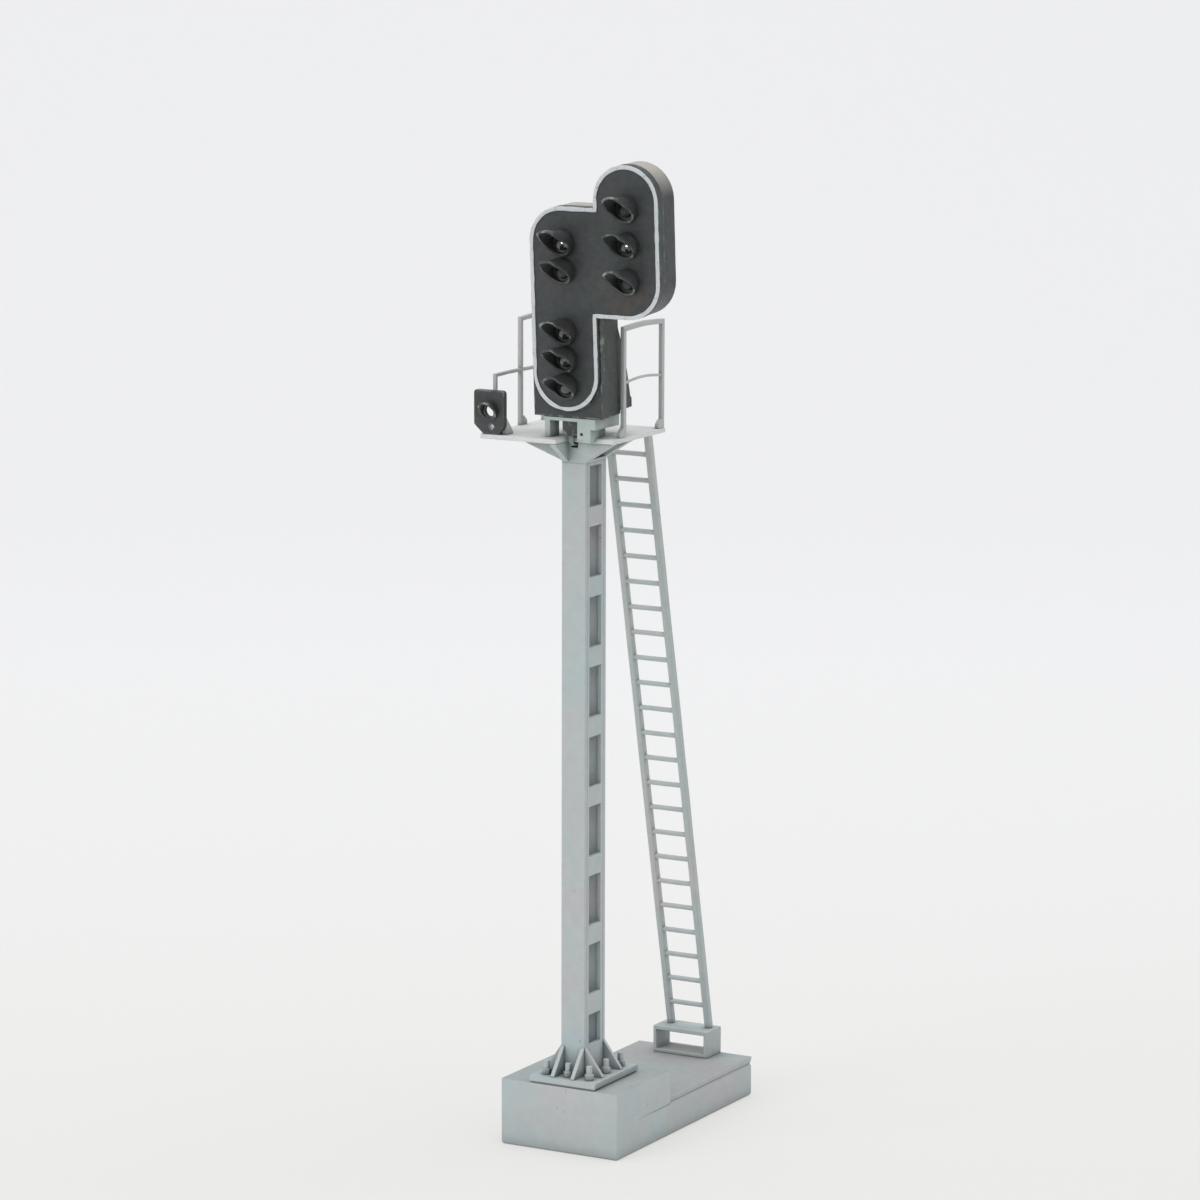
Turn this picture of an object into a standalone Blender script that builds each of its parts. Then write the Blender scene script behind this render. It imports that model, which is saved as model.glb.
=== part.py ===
"""A 1:87 model of a railway colour-light signal on a battened mast.

Frame: +Z up, the signal faces -Y, and the origin is on the mast's axis at the underside of the
foundation. Sizes below are millimetres on the model; MM turns them into Blender's metres.
"""
import math

import bmesh
import bpy
from mathutils import Euler, Vector

MM = 0.001
GAP = 0.02                      # clearance between pieces that rest on each other

# Foundation: one slab, with a high plinth under the mast and a thin one under the ladder
BASE_X = (-8.74, 7.96)
BASE_Y = (-5.64, 30.45)
SLAB_TOP = 4.2
PLINTH_REAR = 8.15
PLINTH_TOP = 8.48
LADDER_PLINTH_TOP = 5.13
BASE_CORNER = 0.3
UNDERCUT = 0.25

# Mast foot: levelling plate, flange with ribs, and eight anchor studs
PLATE_X, PLATE_Y = 4.67, 5.56
LEVELLER_INSET = 0.15
PLATE_TOP = 8.70
FLANGE_TOP = 9.43
RIB_TOP = 12.95
RIB_FOOT = 0.15                 # how high each rib still is at its outer end
RIB_THICKNESS = 0.5
RIB_SETBACK = 0.03              # the ribs stand just clear of the mast socket's wall
RIB_REACH_X, RIB_REACH_Y = 4.1, 5.3
STUD_PLACES = [(-3.0, -4.1), (0.1, -4.1), (3.1, -4.1), (3.2, 0.0),
               (3.1, 3.9), (0.0, 3.9), (-3.0, 3.9), (-3.2, 0.0)]
STUD_RADIUS, STUD_TOP, STUD_BOTTOM = 0.38, 11.2, 7.4
STUD_CLEARANCE = 0.04
NUT_RADIUS, NUT_HEIGHT = 0.6, 0.75

# Mast: a hollow box of front and rear plates and two windowed side plates
MAST_X = (-1.78, 1.55)
MAST_Y = (-2.6, 2.63)
MAST_TOP = 86.5
PLATE_THICKNESS = 0.6
SIDE_THICKNESS = 0.5
WINDOW_Y = (-1.5, 1.45)
WINDOW_HEIGHT, WINDOW_PITCH, WINDOW_FIRST = 6.3, 8.78, 19.57
WINDOW_COUNT = 8
TOP_MARGIN = 0.45               # what is left above the highest window
LOW_WINDOW = (13.13, 16.95)
WIRE_RADIUS = 0.28
WIRE_HOLE_RADIUS = 0.45
WIRE_PLACE = (-0.65, -1.35)     # where the wires run down inside the mast

# Platform and its bracket
DECK_Z = (89.15, 89.75)
DECK_X = (-11.5, 5.6)
DECK_REAR = 10.4
DECK_FRONT_LEFT = -5.85
DECK_FRONT_RIGHT = -2.85
STEP_X = -0.8                   # where the deck's front edge steps back
FLARE_LEFT, FLARE_RIGHT = -8.4, 5.4
FLARE_EDGE = 0.25               # the flare's upright edge where it leaves the mast
WEB_FLOOR = 0.5                 # floor left between the flare's two webs
GUSSET_X = (-1.63, -0.8)
GUSSET_REACH = -5.75
MOUTH_X, MOUTH_HEIGHT = (-0.45, 0.45), 0.68

# Head support between the platform and the signal head
SUPPORT_X = (-3.48, 3.76)
SUPPORT_Y = (-4.2, 1.9)
SUPPORT_TOP = 92.3
SUPPORT_PLATE = 0.45
BEAM_X, BEAM_LOW = (3.1, 3.76), 90.97
LEFT_LEG_X, LEFT_LEG_Y = (-3.26, -2.56), (-4.2, -1.9)
REAR_LEG_Y = (0.5, 1.9)
RIGHT_LEG_X, RIGHT_LEG_Y = (2.16, 3.1), (-4.2, -2.0)
RIGHT_LEG_FOOT = 89.35          # this leg reaches down in front of the deck's edge
SIDE_WEB_X, SIDE_WEB_Y = (2.3, 2.6), (-2.1, 0.4)
REAR_WEB_X, REAR_WEB_Y = (-3.0, 1.8), (1.4, 1.9)
TAB_X, TAB_THICKNESS, TAB_FOOT = (1.26, 2.2), 0.4, 89.7
TAB_HOLE, TAB_HOLE_RADIUS = (1.85, 90.35), 0.2
SEAT_X, SEAT_Y = ((-2.4, -1.4), (1.4, 2.4)), (-3.6, 0.4)
DUCT_X = (-1.0, 1.05)
DUCT_Y = (-3.85, -2.9)
DUCT_WALL = 0.14
DUCT_BOTTOM = 90.15

# Signal head, in its own frame: x across, y from the panel's face rearward, z up from its foot
HEAD_FACE_Y, HEAD_FOOT_Z = -4.8, 92.35
HEAD_TILT = math.radians(3.5)   # the head leans forward, towards the driver
COLUMN_LEFT, COLUMN_RIGHT = -4.3, 4.7
LOBE_RIGHT = 13.55
CORNER_RADIUS = 4.45
COLUMN_FOOT = 0.87
SHOULDER = 26.0                 # top of the left column
LOBE_FOOT, LOBE_TOP = 12.6, 31.4
PANEL_DEPTH = 1.3
SLAB_DEPTH = 4.2
SKIRT_X = (-4.65, 4.85)         # the square box around the foot of the left column
SKIRT_DEPTH = (0.5, 4.94)
SHELL_WALL = 0.8
HOUSING_INSET = 0.08
HEAD_WIRE_PLACE, HEAD_WIRE_RADIUS = (0.0, 1.62), 0.5
HEAD_WIRE_TOP = 2.2
TRIM_WIDTH, TRIM_DEPTH = 0.52, 0.1
LAMP_PLACES = {"left_1": (0.2, 3.9), "left_2": (0.2, 7.3), "left_3": (0.2, 10.7),
               "left_4": (0.2, 18.15), "left_5": (0.2, 21.6),
               "right_1": (9.12, 17.25), "right_2": (9.12, 21.65), "right_3": (9.12, 26.05)}
HOOD_RADIUS, HOOD_WALL, HOOD_LENGTH = 1.65, 0.28, 4.3
HOOD_FOOT, HOOD_MIDDLE = 0.3, 0.45      # the hood's length under the lamp, and its share at half height
HOOD_BROW = 0.7                 # the share of the radius above which a hood has its full length
LENS_RADIUS, LENS_HOLE = 0.95, 1.0
LENS_COLLAR, LENS_CROWN = 0.1, 0.55
BOARD_DEPTH = (2.0, 2.4)
BOARD_INSET = 1.3
COVER_X, COVER_WALL = (-4.1, 4.3), 0.6

# Marker lamp on the front left corner of the platform
MARKER_X = (-12.4, -8.1)
MARKER_Y = (-5.8, -5.1)
MARKER_TOP = 95.2
MARKER_CORNER = 0.4
CHAMFER_LEFT, CHAMFER_RIGHT = (1.3, 1.15), (0.7, 1.1)
SIGHT_CENTRE = (-10.2, 92.65)
SIGHT_RADIUS = 0.72
PEG_CENTRE, PEG_RADIUS = (-9.87, 90.7), 0.3
MARKER_HOOD_RADIUS, MARKER_HOOD_LENGTH = 1.2, 1.3
CHEEK_REACH, CHEEK_TOP, CHEEK_THICKNESS = -3.5, 91.8, 0.45
CHEEK_FLOOR = 0.2

# Guard rails
RAIL_X_BAR, RAIL_Y_BAR = 0.54, 0.64
RAIL_TOP = 103.35
MID_RAIL_Z, MID_RAIL_RADIUS = 96.4, 0.18
RIGHT_RAIL_X = 5.21
RIGHT_POSTS_Y = (0.26, 10.04)
LEFT_RAIL_X = -11.1
LEFT_POSTS_Y = (3.4, 9.2)
SHORT_POST_Y, LOWER_BAR = -2.8, 0.42
LOWER_RAIL_TOP = 96.85
FOOT_LUG, FOOT_LUG_TIP, FOOT_LUG_HEIGHT, FOOT_LUG_TOP = 0.95, 0.25, 0.7, 1.2

# Ladder and its foot frame
LADDER_FOOT = Vector((-0.3, 28.81, 8.70))
LADDER_HEAD = Vector((-0.3, 11.45, 89.1))
LADDER_GAP = 4.72               # clear width between the stiles
LADDER_END = 0.15               # the stiles stop short of the foot and head points
STILE_X, STILE_Y = 0.82, 1.05
ARM_REACH, ARM_DEPTH = 0.8, 0.5
RUNG_COUNT, RUNG_FIRST, RUNG_PITCH = 23, 3.14, 3.447
RUNG_SIZE, RUNG_SETBACK = 0.5, 0.12
FOOT_FRAME_X = (-4.42, 3.5)
FOOT_FRAME_Y = (26.35, 30.2)
FOOT_FRAME_Z = (5.15, 8.67)
FOOT_OPENING_X, FOOT_OPENING_Z = (-4.0, 2.95), (5.6, 8.1)


# ---------------------------------------------------------------- scene and materials
def clear_scene():
    for thing in list(bpy.data.objects):
        bpy.data.objects.remove(thing, do_unlink=True)


def make_collection(name):
    collection = bpy.data.collections.new(name)
    bpy.context.scene.collection.children.link(collection)
    return collection


def make_material(name, colour, roughness, metallic=0.0):
    material = bpy.data.materials.new(name)
    material.use_nodes = True
    shader = material.node_tree.nodes["Principled BSDF"]
    shader.inputs["Base Color"].default_value = (*colour, 1.0)
    shader.inputs["Roughness"].default_value = roughness
    shader.inputs["Metallic"].default_value = metallic
    return material


# ---------------------------------------------------------------- shape helpers
def place(name, mesh, material, collection, parent=None):
    thing = bpy.data.objects.new(name, mesh)
    if material:
        mesh.materials.clear()
        mesh.materials.append(material)
    collection.objects.link(thing)
    thing.parent = parent
    return thing


def box_mesh(name, xs, ys, zs):
    """A cuboid between three pairs of millimetre limits."""
    bm = bmesh.new()
    bmesh.ops.create_cube(bm, size=1.0)
    for vert in bm.verts:
        for axis, (low, high) in enumerate((xs, ys, zs)):
            vert.co[axis] = (low if vert.co[axis] < 0 else high) * MM
    mesh = bpy.data.meshes.new(name)
    bm.to_mesh(mesh)
    bm.free()
    return mesh


def box(name, xs, ys, zs, material, collection, parent=None):
    return place(name, box_mesh(name, xs, ys, zs), material, collection, parent)


def rod_mesh(name, centre, radius, span, axis, sides):
    """A cylinder or a regular prism along one axis, between two limits on it."""
    bm = bmesh.new()
    length = (span[1] - span[0]) * MM
    bmesh.ops.create_cone(bm, cap_ends=True, segments=sides, radius1=radius * MM,
                          radius2=radius * MM, depth=length)
    turn = {"X": (0.0, math.pi / 2, 0.0), "Y": (math.pi / 2, 0.0, 0.0), "Z": (0.0, 0.0, 0.0)}[axis]
    middle = list(centre)
    middle.insert("XYZ".index(axis), sum(span) / 2)
    rotation = Euler(turn).to_matrix()
    for vert in bm.verts:
        vert.co = rotation @ vert.co + Vector(middle) * MM
    mesh = bpy.data.meshes.new(name)
    bm.to_mesh(mesh)
    bm.free()
    return mesh


def rod(name, centre, radius, span, axis, material, collection, sides=12, parent=None):
    return place(name, rod_mesh(name, centre, radius, span, axis, sides), material, collection,
                 parent)


def arc(centre, radius, start, end, steps):
    """Points on an arc, with angles in degrees counted from +X towards +Z."""
    points = []
    for step in range(steps + 1):
        angle = math.radians(start + (end - start) * step / steps)
        points.append((centre[0] + radius * math.cos(angle), centre[1] + radius * math.sin(angle)))
    return points


def ring(centre, radius, sides, start=0.0):
    return arc(centre, radius, start, start + 360.0 - 360.0 / sides, sides - 1)


def plate(name, outline, holes, normal, span, material, collection, parent=None):
    """A flat plate from a closed outline and holes, thick between two limits on its normal.

    The outline's two numbers are (y, z) for normal X, (x, z) for normal Y and (x, y) for normal Z.
    """
    curve = bpy.data.curves.new(name, "CURVE")
    curve.dimensions = "2D"
    curve.fill_mode = "BOTH"
    curve.extrude = (span[1] - span[0]) / 2 * MM
    for loop in (outline, *holes):
        spline = curve.splines.new("POLY")
        spline.points.add(len(loop) - 1)
        for point, (u, v) in zip(spline.points, loop):
            point.co = (u * MM, v * MM, 0.0, 1.0)
        spline.use_cyclic_u = True
    flat = bpy.data.objects.new(name + "_outline", curve)
    bpy.context.scene.collection.objects.link(flat)
    depsgraph = bpy.context.evaluated_depsgraph_get()
    mesh = bpy.data.meshes.new_from_object(flat.evaluated_get(depsgraph))
    bpy.data.objects.remove(flat, do_unlink=True)
    mesh.name = name
    middle = (span[0] + span[1]) / 2 * MM
    bm = bmesh.new()
    bm.from_mesh(mesh)
    bmesh.ops.remove_doubles(bm, verts=bm.verts, dist=1e-6)
    for vert in bm.verts:
        u, v, w = vert.co
        vert.co = {"X": (w + middle, u, v), "Y": (u, w + middle, v), "Z": (u, v, w + middle)}[normal]
    bmesh.ops.recalc_face_normals(bm, faces=bm.faces)
    if bm.calc_volume(signed=True) < 0:
        bmesh.ops.reverse_faces(bm, faces=bm.faces)
    bm.to_mesh(mesh)
    bm.free()
    return place(name, mesh, material, collection, parent)


def combine(target, tool, operation):
    """Adds or cuts a hidden tool with an exact Boolean."""
    modifier = target.modifiers.new(tool.name, "BOOLEAN")
    modifier.operation = operation
    modifier.solver = "EXACT"
    modifier.object = tool
    tool.hide_render = True
    tool.display_type = "WIRE"
    tool.parent = target.parent


def add(target, *tools):
    for tool in tools:
        combine(target, tool, "UNION")


def cut(target, *tools):
    for tool in tools:
        combine(target, tool, "DIFFERENCE")


def join(name, tools_to_join, collection):
    """One tool from several that don't touch each other."""
    bm = bmesh.new()
    for tool in tools_to_join:
        bm.from_mesh(tool.data)
        bpy.data.objects.remove(tool, do_unlink=True)
    mesh = bpy.data.meshes.new(name)
    bm.to_mesh(mesh)
    bm.free()
    return place(name, mesh, None, collection)


def rectangle(xs, ys):
    return [(xs[0], ys[0]), (xs[1], ys[0]), (xs[1], ys[1]), (xs[0], ys[1])]


def inset(limits, amount):
    return (limits[0] + amount, limits[1] - amount)


# ---------------------------------------------------------------- foundation
def rounded_rectangle(xs, ys, radius, steps=3):
    left, right, low, high = xs[0] + radius, xs[1] - radius, ys[0] + radius, ys[1] - radius
    return (arc((right, high), radius, 0, 90, steps) + arc((left, high), radius, 90, 180, steps)
            + arc((left, low), radius, 180, 270, steps) + arc((right, low), radius, 270, 360, steps))


def build_foundation(parts, tools, paint):
    slab = plate("foundation_slab", rounded_rectangle(BASE_X, BASE_Y, BASE_CORNER), [], "Z",
                 (0.0, SLAB_TOP), paint, parts)
    cut(slab, rod("wire_way_slab", WIRE_PLACE, WIRE_HOLE_RADIUS, (-1.0, SLAB_TOP + 1.0), "Z", None,
                  tools))

    front = (BASE_Y[0], PLINTH_REAR)
    outline = (arc((BASE_X[0] + BASE_CORNER, front[0] + BASE_CORNER), BASE_CORNER, 180, 270, 3)
               + arc((BASE_X[1] - BASE_CORNER, front[0] + BASE_CORNER), BASE_CORNER, 270, 360, 3)
               + [(BASE_X[1], front[1]), (BASE_X[0], front[1])])
    plinth = plate("mast_plinth", outline, [], "Z", (SLAB_TOP + GAP, PLINTH_TOP), paint, parts)
    cut(plinth, rod("wire_way_plinth", WIRE_PLACE, WIRE_HOLE_RADIUS, (SLAB_TOP - 1, PLINTH_TOP + 1),
                    "Z", None, tools))
    for number, (x, y) in enumerate(STUD_PLACES, 1):
        cut(plinth, rod(f"stud_socket_{number}", (x, y), STUD_RADIUS + STUD_CLEARANCE,
                        (STUD_BOTTOM - 0.1, PLINTH_TOP + 1), "Z", None, tools, sides=10))

    # The ladder's plinth is undercut, so its upper edge casts a line along the block
    left, right = BASE_X
    lip = LADDER_PLINTH_TOP - 0.1
    profile = [(left + UNDERCUT, SLAB_TOP + GAP), (right - UNDERCUT, SLAB_TOP + GAP), (right, lip),
               (right, LADDER_PLINTH_TOP), (left, LADDER_PLINTH_TOP), (left, lip)]
    plate("ladder_plinth", profile, [], "Y", (PLINTH_REAR + GAP, BASE_Y[1]), paint, parts)


# ---------------------------------------------------------------- mast foot
def build_mast_foot(parts, tools, paint, steel):
    # Each hole's corners are turned a little further than the last, so that none line up
    stud_holes = [ring(where, STUD_RADIUS + STUD_CLEARANCE, 10, 4.0 * number)
                  for number, where in enumerate(STUD_PLACES, 1)]
    wire_hole = ring(WIRE_PLACE, WIRE_HOLE_RADIUS, 12, 2.0)
    footprint = rectangle((-PLATE_X, PLATE_X), (-PLATE_Y, PLATE_Y))
    leveller = rectangle(inset((-PLATE_X, PLATE_X), LEVELLER_INSET),
                         inset((-PLATE_Y, PLATE_Y), LEVELLER_INSET))
    plate("levelling_plate", leveller, stud_holes + [wire_hole], "Z",
          (PLINTH_TOP + GAP, PLATE_TOP), paint, parts)

    socket_x = (MAST_X[0] - GAP, MAST_X[1] + GAP)
    socket_y = (MAST_Y[0] - GAP, MAST_Y[1] + GAP)
    foot = plate("mast_foot", footprint, stud_holes + [rectangle(socket_x, socket_y)], "Z",
                 (PLATE_TOP + GAP, FLANGE_TOP), paint, parts)
    low, high = FLANGE_TOP - 0.1, RIB_TOP
    half = RIB_THICKNESS / 2
    ribs = []
    for normal, faces, reach, across in (("X", socket_y, RIB_REACH_Y, MAST_X),
                                         ("Y", socket_x, RIB_REACH_X, MAST_Y)):
        for way, face in zip((-1, 1), faces):
            start = face + way * RIB_SETBACK
            outline = [(start, low), (way * reach, low), (way * reach, FLANGE_TOP + RIB_FOOT),
                       (start, high)]
            for middle in inset(across, half):
                name = f"rib_{normal}_{len(ribs) + 1}"
                ribs.append(plate(name, outline, [], normal, (middle - half, middle + half), None,
                                  tools))
    add(foot, join("ribs", ribs, tools))

    for number, (x, y) in enumerate(STUD_PLACES, 1):
        stud = rod(f"anchor_stud_{number}", (x, y), STUD_RADIUS, (STUD_BOTTOM, STUD_TOP), "Z",
                   steel, parts, sides=10)
        add(stud, rod(f"nut_{number}", (x, y), NUT_RADIUS,
                      (FLANGE_TOP + GAP, FLANGE_TOP + NUT_HEIGHT), "Z", None, tools, sides=6))


# ---------------------------------------------------------------- mast
def window_spans():
    spans = [LOW_WINDOW]
    for number in range(WINDOW_COUNT):
        foot = WINDOW_FIRST + number * WINDOW_PITCH
        spans.append((foot, min(foot + WINDOW_HEIGHT, MAST_TOP - TOP_MARGIN)))
    return spans


def build_mast(parts, paint):
    foot, head = PLATE_TOP + GAP, MAST_TOP
    front_rear = MAST_Y[0] + PLATE_THICKNESS
    rear_front = MAST_Y[1] - PLATE_THICKNESS
    box("mast_front_plate", MAST_X, (MAST_Y[0], front_rear), (foot, head), paint, parts)
    box("mast_rear_plate", MAST_X, (rear_front, MAST_Y[1]), (foot, head), paint, parts)
    outline = rectangle((front_rear + GAP, rear_front - GAP), (foot, head))
    windows = [rectangle(WINDOW_Y, span) for span in window_spans()]
    plate("mast_side_plate_right", outline, windows, "X",
          (MAST_X[1] - SIDE_THICKNESS, MAST_X[1]), paint, parts)
    plate("mast_side_plate_left", outline, windows, "X",
          (MAST_X[0], MAST_X[0] + SIDE_THICKNESS), paint, parts)


def build_mast_head(parts, tools, paint):
    """The bracket flares from the mast to the platform: two outer webs on a narrow core."""
    low, high = MAST_TOP + GAP, DECK_Z[0] - GAP
    flare = [(MAST_X[0], low), (MAST_X[1], low), (MAST_X[1] + 0.1, low + FLARE_EDGE),
             (FLARE_RIGHT, high), (FLARE_LEFT, high), (MAST_X[0] - 0.1, low + FLARE_EDGE)]
    bracket = plate("mast_head_bracket", flare, [], "Y", MAST_Y, paint, parts)
    cut(bracket,
        box("recess_right", (MAST_X[1] - SIDE_THICKNESS, FLARE_RIGHT + 1), WINDOW_Y,
            (low + WEB_FLOOR, high + 1), None, tools),
        box("recess_left", (FLARE_LEFT - 1, MAST_X[0] + SIDE_THICKNESS), WINDOW_Y,
            (low + WEB_FLOOR, high + 1), None, tools))
    root = MAST_Y[0] + 0.2
    gusset = [(root, low + 0.1), (MAST_Y[0], low + 0.1), (GUSSET_REACH, high - FLARE_EDGE),
              (GUSSET_REACH, high), (root, high)]
    add(bracket, plate("front_gusset", gusset, [], "X", GUSSET_X, None, tools))
    half = WIRE_HOLE_RADIUS
    wire_x, wire_y = WIRE_PLACE
    across, along = (wire_x - half, wire_x + half), (wire_y - half, wire_y + half)
    cut(bracket,
        box("wire_mouth", (across[0], MOUTH_X[1]), (MAST_Y[0] + 0.3, along[1]),
            (high - MOUTH_HEIGHT, high + 1), None, tools),
        box("wire_entry", MOUTH_X, (MAST_Y[0] - 1, along[1]), (high - MOUTH_HEIGHT, high + 1), None,
            tools),
        box("wire_drop", across, along, (low - 1, high), None, tools))


# ---------------------------------------------------------------- platform
def build_platform(parts, paint):
    outline = [(DECK_X[0], DECK_FRONT_LEFT), (STEP_X, DECK_FRONT_LEFT), (STEP_X, DECK_FRONT_RIGHT),
               (DECK_X[1], DECK_FRONT_RIGHT), (DECK_X[1], DECK_REAR), (DECK_X[0], DECK_REAR)]
    plate("platform_deck", outline, [], "Z", DECK_Z, paint, parts)


def head_underside(y):
    """Height of the leaning head's flat underside above the origin, at a place on Y."""
    return HEAD_FOOT_Z + (y - HEAD_FACE_Y) * math.tan(HEAD_TILT)


def build_head_support(parts, tools, paint, black):
    """A top plate with a deep right edge, on legs and webs that stand on the deck."""
    foot = DECK_Z[1] + GAP
    under = SUPPORT_TOP - SUPPORT_PLATE
    inside = under + SUPPORT_PLATE / 2      # the legs run into the plate, to join it
    frame = box("head_support", SUPPORT_X, SUPPORT_Y, (under, SUPPORT_TOP), paint, parts)
    hanging = [(RIGHT_LEG_Y[0], RIGHT_LEG_FOOT), (DECK_FRONT_RIGHT - GAP, RIGHT_LEG_FOOT),
               (DECK_FRONT_RIGHT - GAP, foot), (RIGHT_LEG_Y[1], foot), (RIGHT_LEG_Y[1], inside),
               (RIGHT_LEG_Y[0], inside)]
    tab_y = (SUPPORT_Y[0], SUPPORT_Y[0] + TAB_THICKNESS)
    add(frame,
        box("support_beam", BEAM_X, SUPPORT_Y, (BEAM_LOW, inside), None, tools),
        box("left_leg", LEFT_LEG_X, LEFT_LEG_Y, (foot, inside), None, tools),
        box("left_rear_leg", LEFT_LEG_X, REAR_LEG_Y, (foot, inside), None, tools),
        plate("right_leg", hanging, [], "X", RIGHT_LEG_X, None, tools),
        box("side_web", SIDE_WEB_X, SIDE_WEB_Y, (foot, inside), None, tools),
        box("rear_web", REAR_WEB_X, REAR_WEB_Y, (foot, inside), None, tools),
        box("front_tab", TAB_X, tab_y, (TAB_FOOT, inside), None, tools))
    front, rear = SEAT_Y
    seat = [(front, inside), (rear, inside), (rear, head_underside(rear) - GAP),
            (front, head_underside(front) - GAP)]
    for side, across in zip(("left", "right"), SEAT_X):
        add(frame, plate(f"seat_{side}", seat, [], "X", across, None, tools))
    cut(frame,
        rod("tab_hole", TAB_HOLE, TAB_HOLE_RADIUS, (SUPPORT_Y[0] - 1, tab_y[1] + 1), "Y", None, tools),
        box("support_wire_way", inset(DUCT_X, -0.05), inset(DUCT_Y, -0.05), (foot, SUPPORT_TOP + 1),
            None, tools))
    bore = rectangle(inset(DUCT_X, DUCT_WALL), inset(DUCT_Y, DUCT_WALL))
    plate("cable_duct", rectangle(DUCT_X, DUCT_Y), [bore], "Z", (DUCT_BOTTOM, SUPPORT_TOP), black,
          parts)


# ---------------------------------------------------------------- signal head
def target_outline(offset=0.0, steps=9):
    """The target's outline, moved inward by an offset: two columns of one width, side by side."""
    radius = CORNER_RADIUS - offset
    left, right = COLUMN_LEFT + offset, COLUMN_RIGHT - offset
    far = LOBE_RIGHT - offset
    foot = COLUMN_FOOT + offset
    shoulder = SHOULDER - offset
    column_middle = (COLUMN_LEFT + COLUMN_RIGHT) / 2
    lobe_middle = LOBE_RIGHT - CORNER_RADIUS
    half_column = (right - left) / 2
    points = arc((column_middle, foot + half_column), half_column, 180, 360, 2 * steps)
    points += [(right, LOBE_FOOT + offset)]
    points += arc((lobe_middle, LOBE_FOOT + CORNER_RADIUS), radius, 270, 360, steps)
    points += arc((lobe_middle, LOBE_TOP - CORNER_RADIUS), radius, 0, 180, 2 * steps)
    notch = lobe_middle - radius
    points += [(notch, shoulder)]
    points += arc((COLUMN_LEFT + CORNER_RADIUS, SHOULDER - CORNER_RADIUS), radius, 90, 180, steps)
    return points


def build_head_shell(parts, tools, pivot, black, trim_paint):
    lamp_holes = [ring(centre, LENS_HOLE, 16) for centre in LAMP_PLACES.values()]
    plate("target_panel", target_outline(), lamp_holes, "Y", (0.0, PANEL_DEPTH), black, parts, pivot)
    plate("target_trim", target_outline(), [target_outline(TRIM_WIDTH)], "Y",
          (-GAP - TRIM_DEPTH, -GAP), trim_paint, parts, pivot)

    housing = plate("head_housing", target_outline(HOUSING_INSET), [], "Y",
                    (PANEL_DEPTH + GAP, SLAB_DEPTH), black, parts, pivot)
    skirt = box("skirt", SKIRT_X, SKIRT_DEPTH, (0.0, LOBE_FOOT), None, tools)
    add(housing, skirt)
    cut(housing,
        plate("panel_seat", target_outline(-GAP), [], "Y", (-1.0, PANEL_DEPTH + GAP), None, tools),
        plate("housing_hollow", target_outline(SHELL_WALL), [], "Y",
              (PANEL_DEPTH, SLAB_DEPTH - SHELL_WALL), None, tools),
        rod("housing_wire_way", HEAD_WIRE_PLACE, HEAD_WIRE_RADIUS, (-1.0, COLUMN_FOOT + 2.0), "Z",
            None, tools))

    high = (SKIRT_DEPTH[1] + GAP, 11.6)
    profile = [(high[0], 0.1), (9.0, 0.1), (9.0, 1.3), (8.7, 1.5), (8.0, 4.9), (6.5, 9.3),
               (5.5, high[1]), high]
    cover = plate("rear_cover", profile, [], "X", COVER_X, black, parts, pivot)
    hollow = [(4.0, 0.7), (8.1, 0.7), (7.4, 4.8), (6.0, 8.8), (5.3, 10.6), (4.0, 10.6)]
    cut(cover, plate("cover_hollow", hollow, [], "X", inset(COVER_X, COVER_WALL), None,
                     tools))


def hood_mesh(name, tools, radius, length):
    """A visor: a tube along -Y, cut from its long brow back to its short underside."""
    tube = plate(name, ring((0.0, 0.0), radius, 24), [ring((0.0, 0.0), radius - HOOD_WALL, 24)],
                 "Y", (-length - GAP, -GAP), None, tools)
    reach, below = length + 1.0, -radius - 1.0
    brow = radius * HOOD_BROW
    rise = brow / (length - length * HOOD_MIDDLE)      # for the 1 mm that it runs on past the tip
    slope = [(-reach, brow + rise), (-length, brow), (-length * HOOD_MIDDLE, 0.0),
             (-HOOD_FOOT, -radius), (-HOOD_FOOT, below), (-reach, below)]
    cut(tube, plate(name + "_slope", slope, [], "X", (-radius - 1, radius + 1), None, tools))
    depsgraph = bpy.context.evaluated_depsgraph_get()
    mesh = bpy.data.meshes.new_from_object(tube.evaluated_get(depsgraph))
    tube.hide_render = True
    tube.display_type = "WIRE"
    return mesh


def lens_mesh(name):
    """A turned lens: a domed front on a barrel that reaches back to the lamp board."""
    profile = []
    steps = 4
    for step in range(steps + 1):
        angle = math.pi / 2 * step / steps
        profile.append((LENS_RADIUS * math.sin(angle), LENS_COLLAR + LENS_CROWN * math.cos(angle)))
    profile.append((LENS_RADIUS, GAP - BOARD_DEPTH[0]))
    profile.append((0.0, GAP - BOARD_DEPTH[0]))
    bm = bmesh.new()
    verts = [bm.verts.new((x * MM, 0.0, z * MM)) for x, z in profile]
    for low, high in zip(verts, verts[1:]):
        bm.edges.new((low, high))
    mesh = bpy.data.meshes.new(name)
    bm.to_mesh(mesh)
    bm.free()
    return mesh


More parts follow.
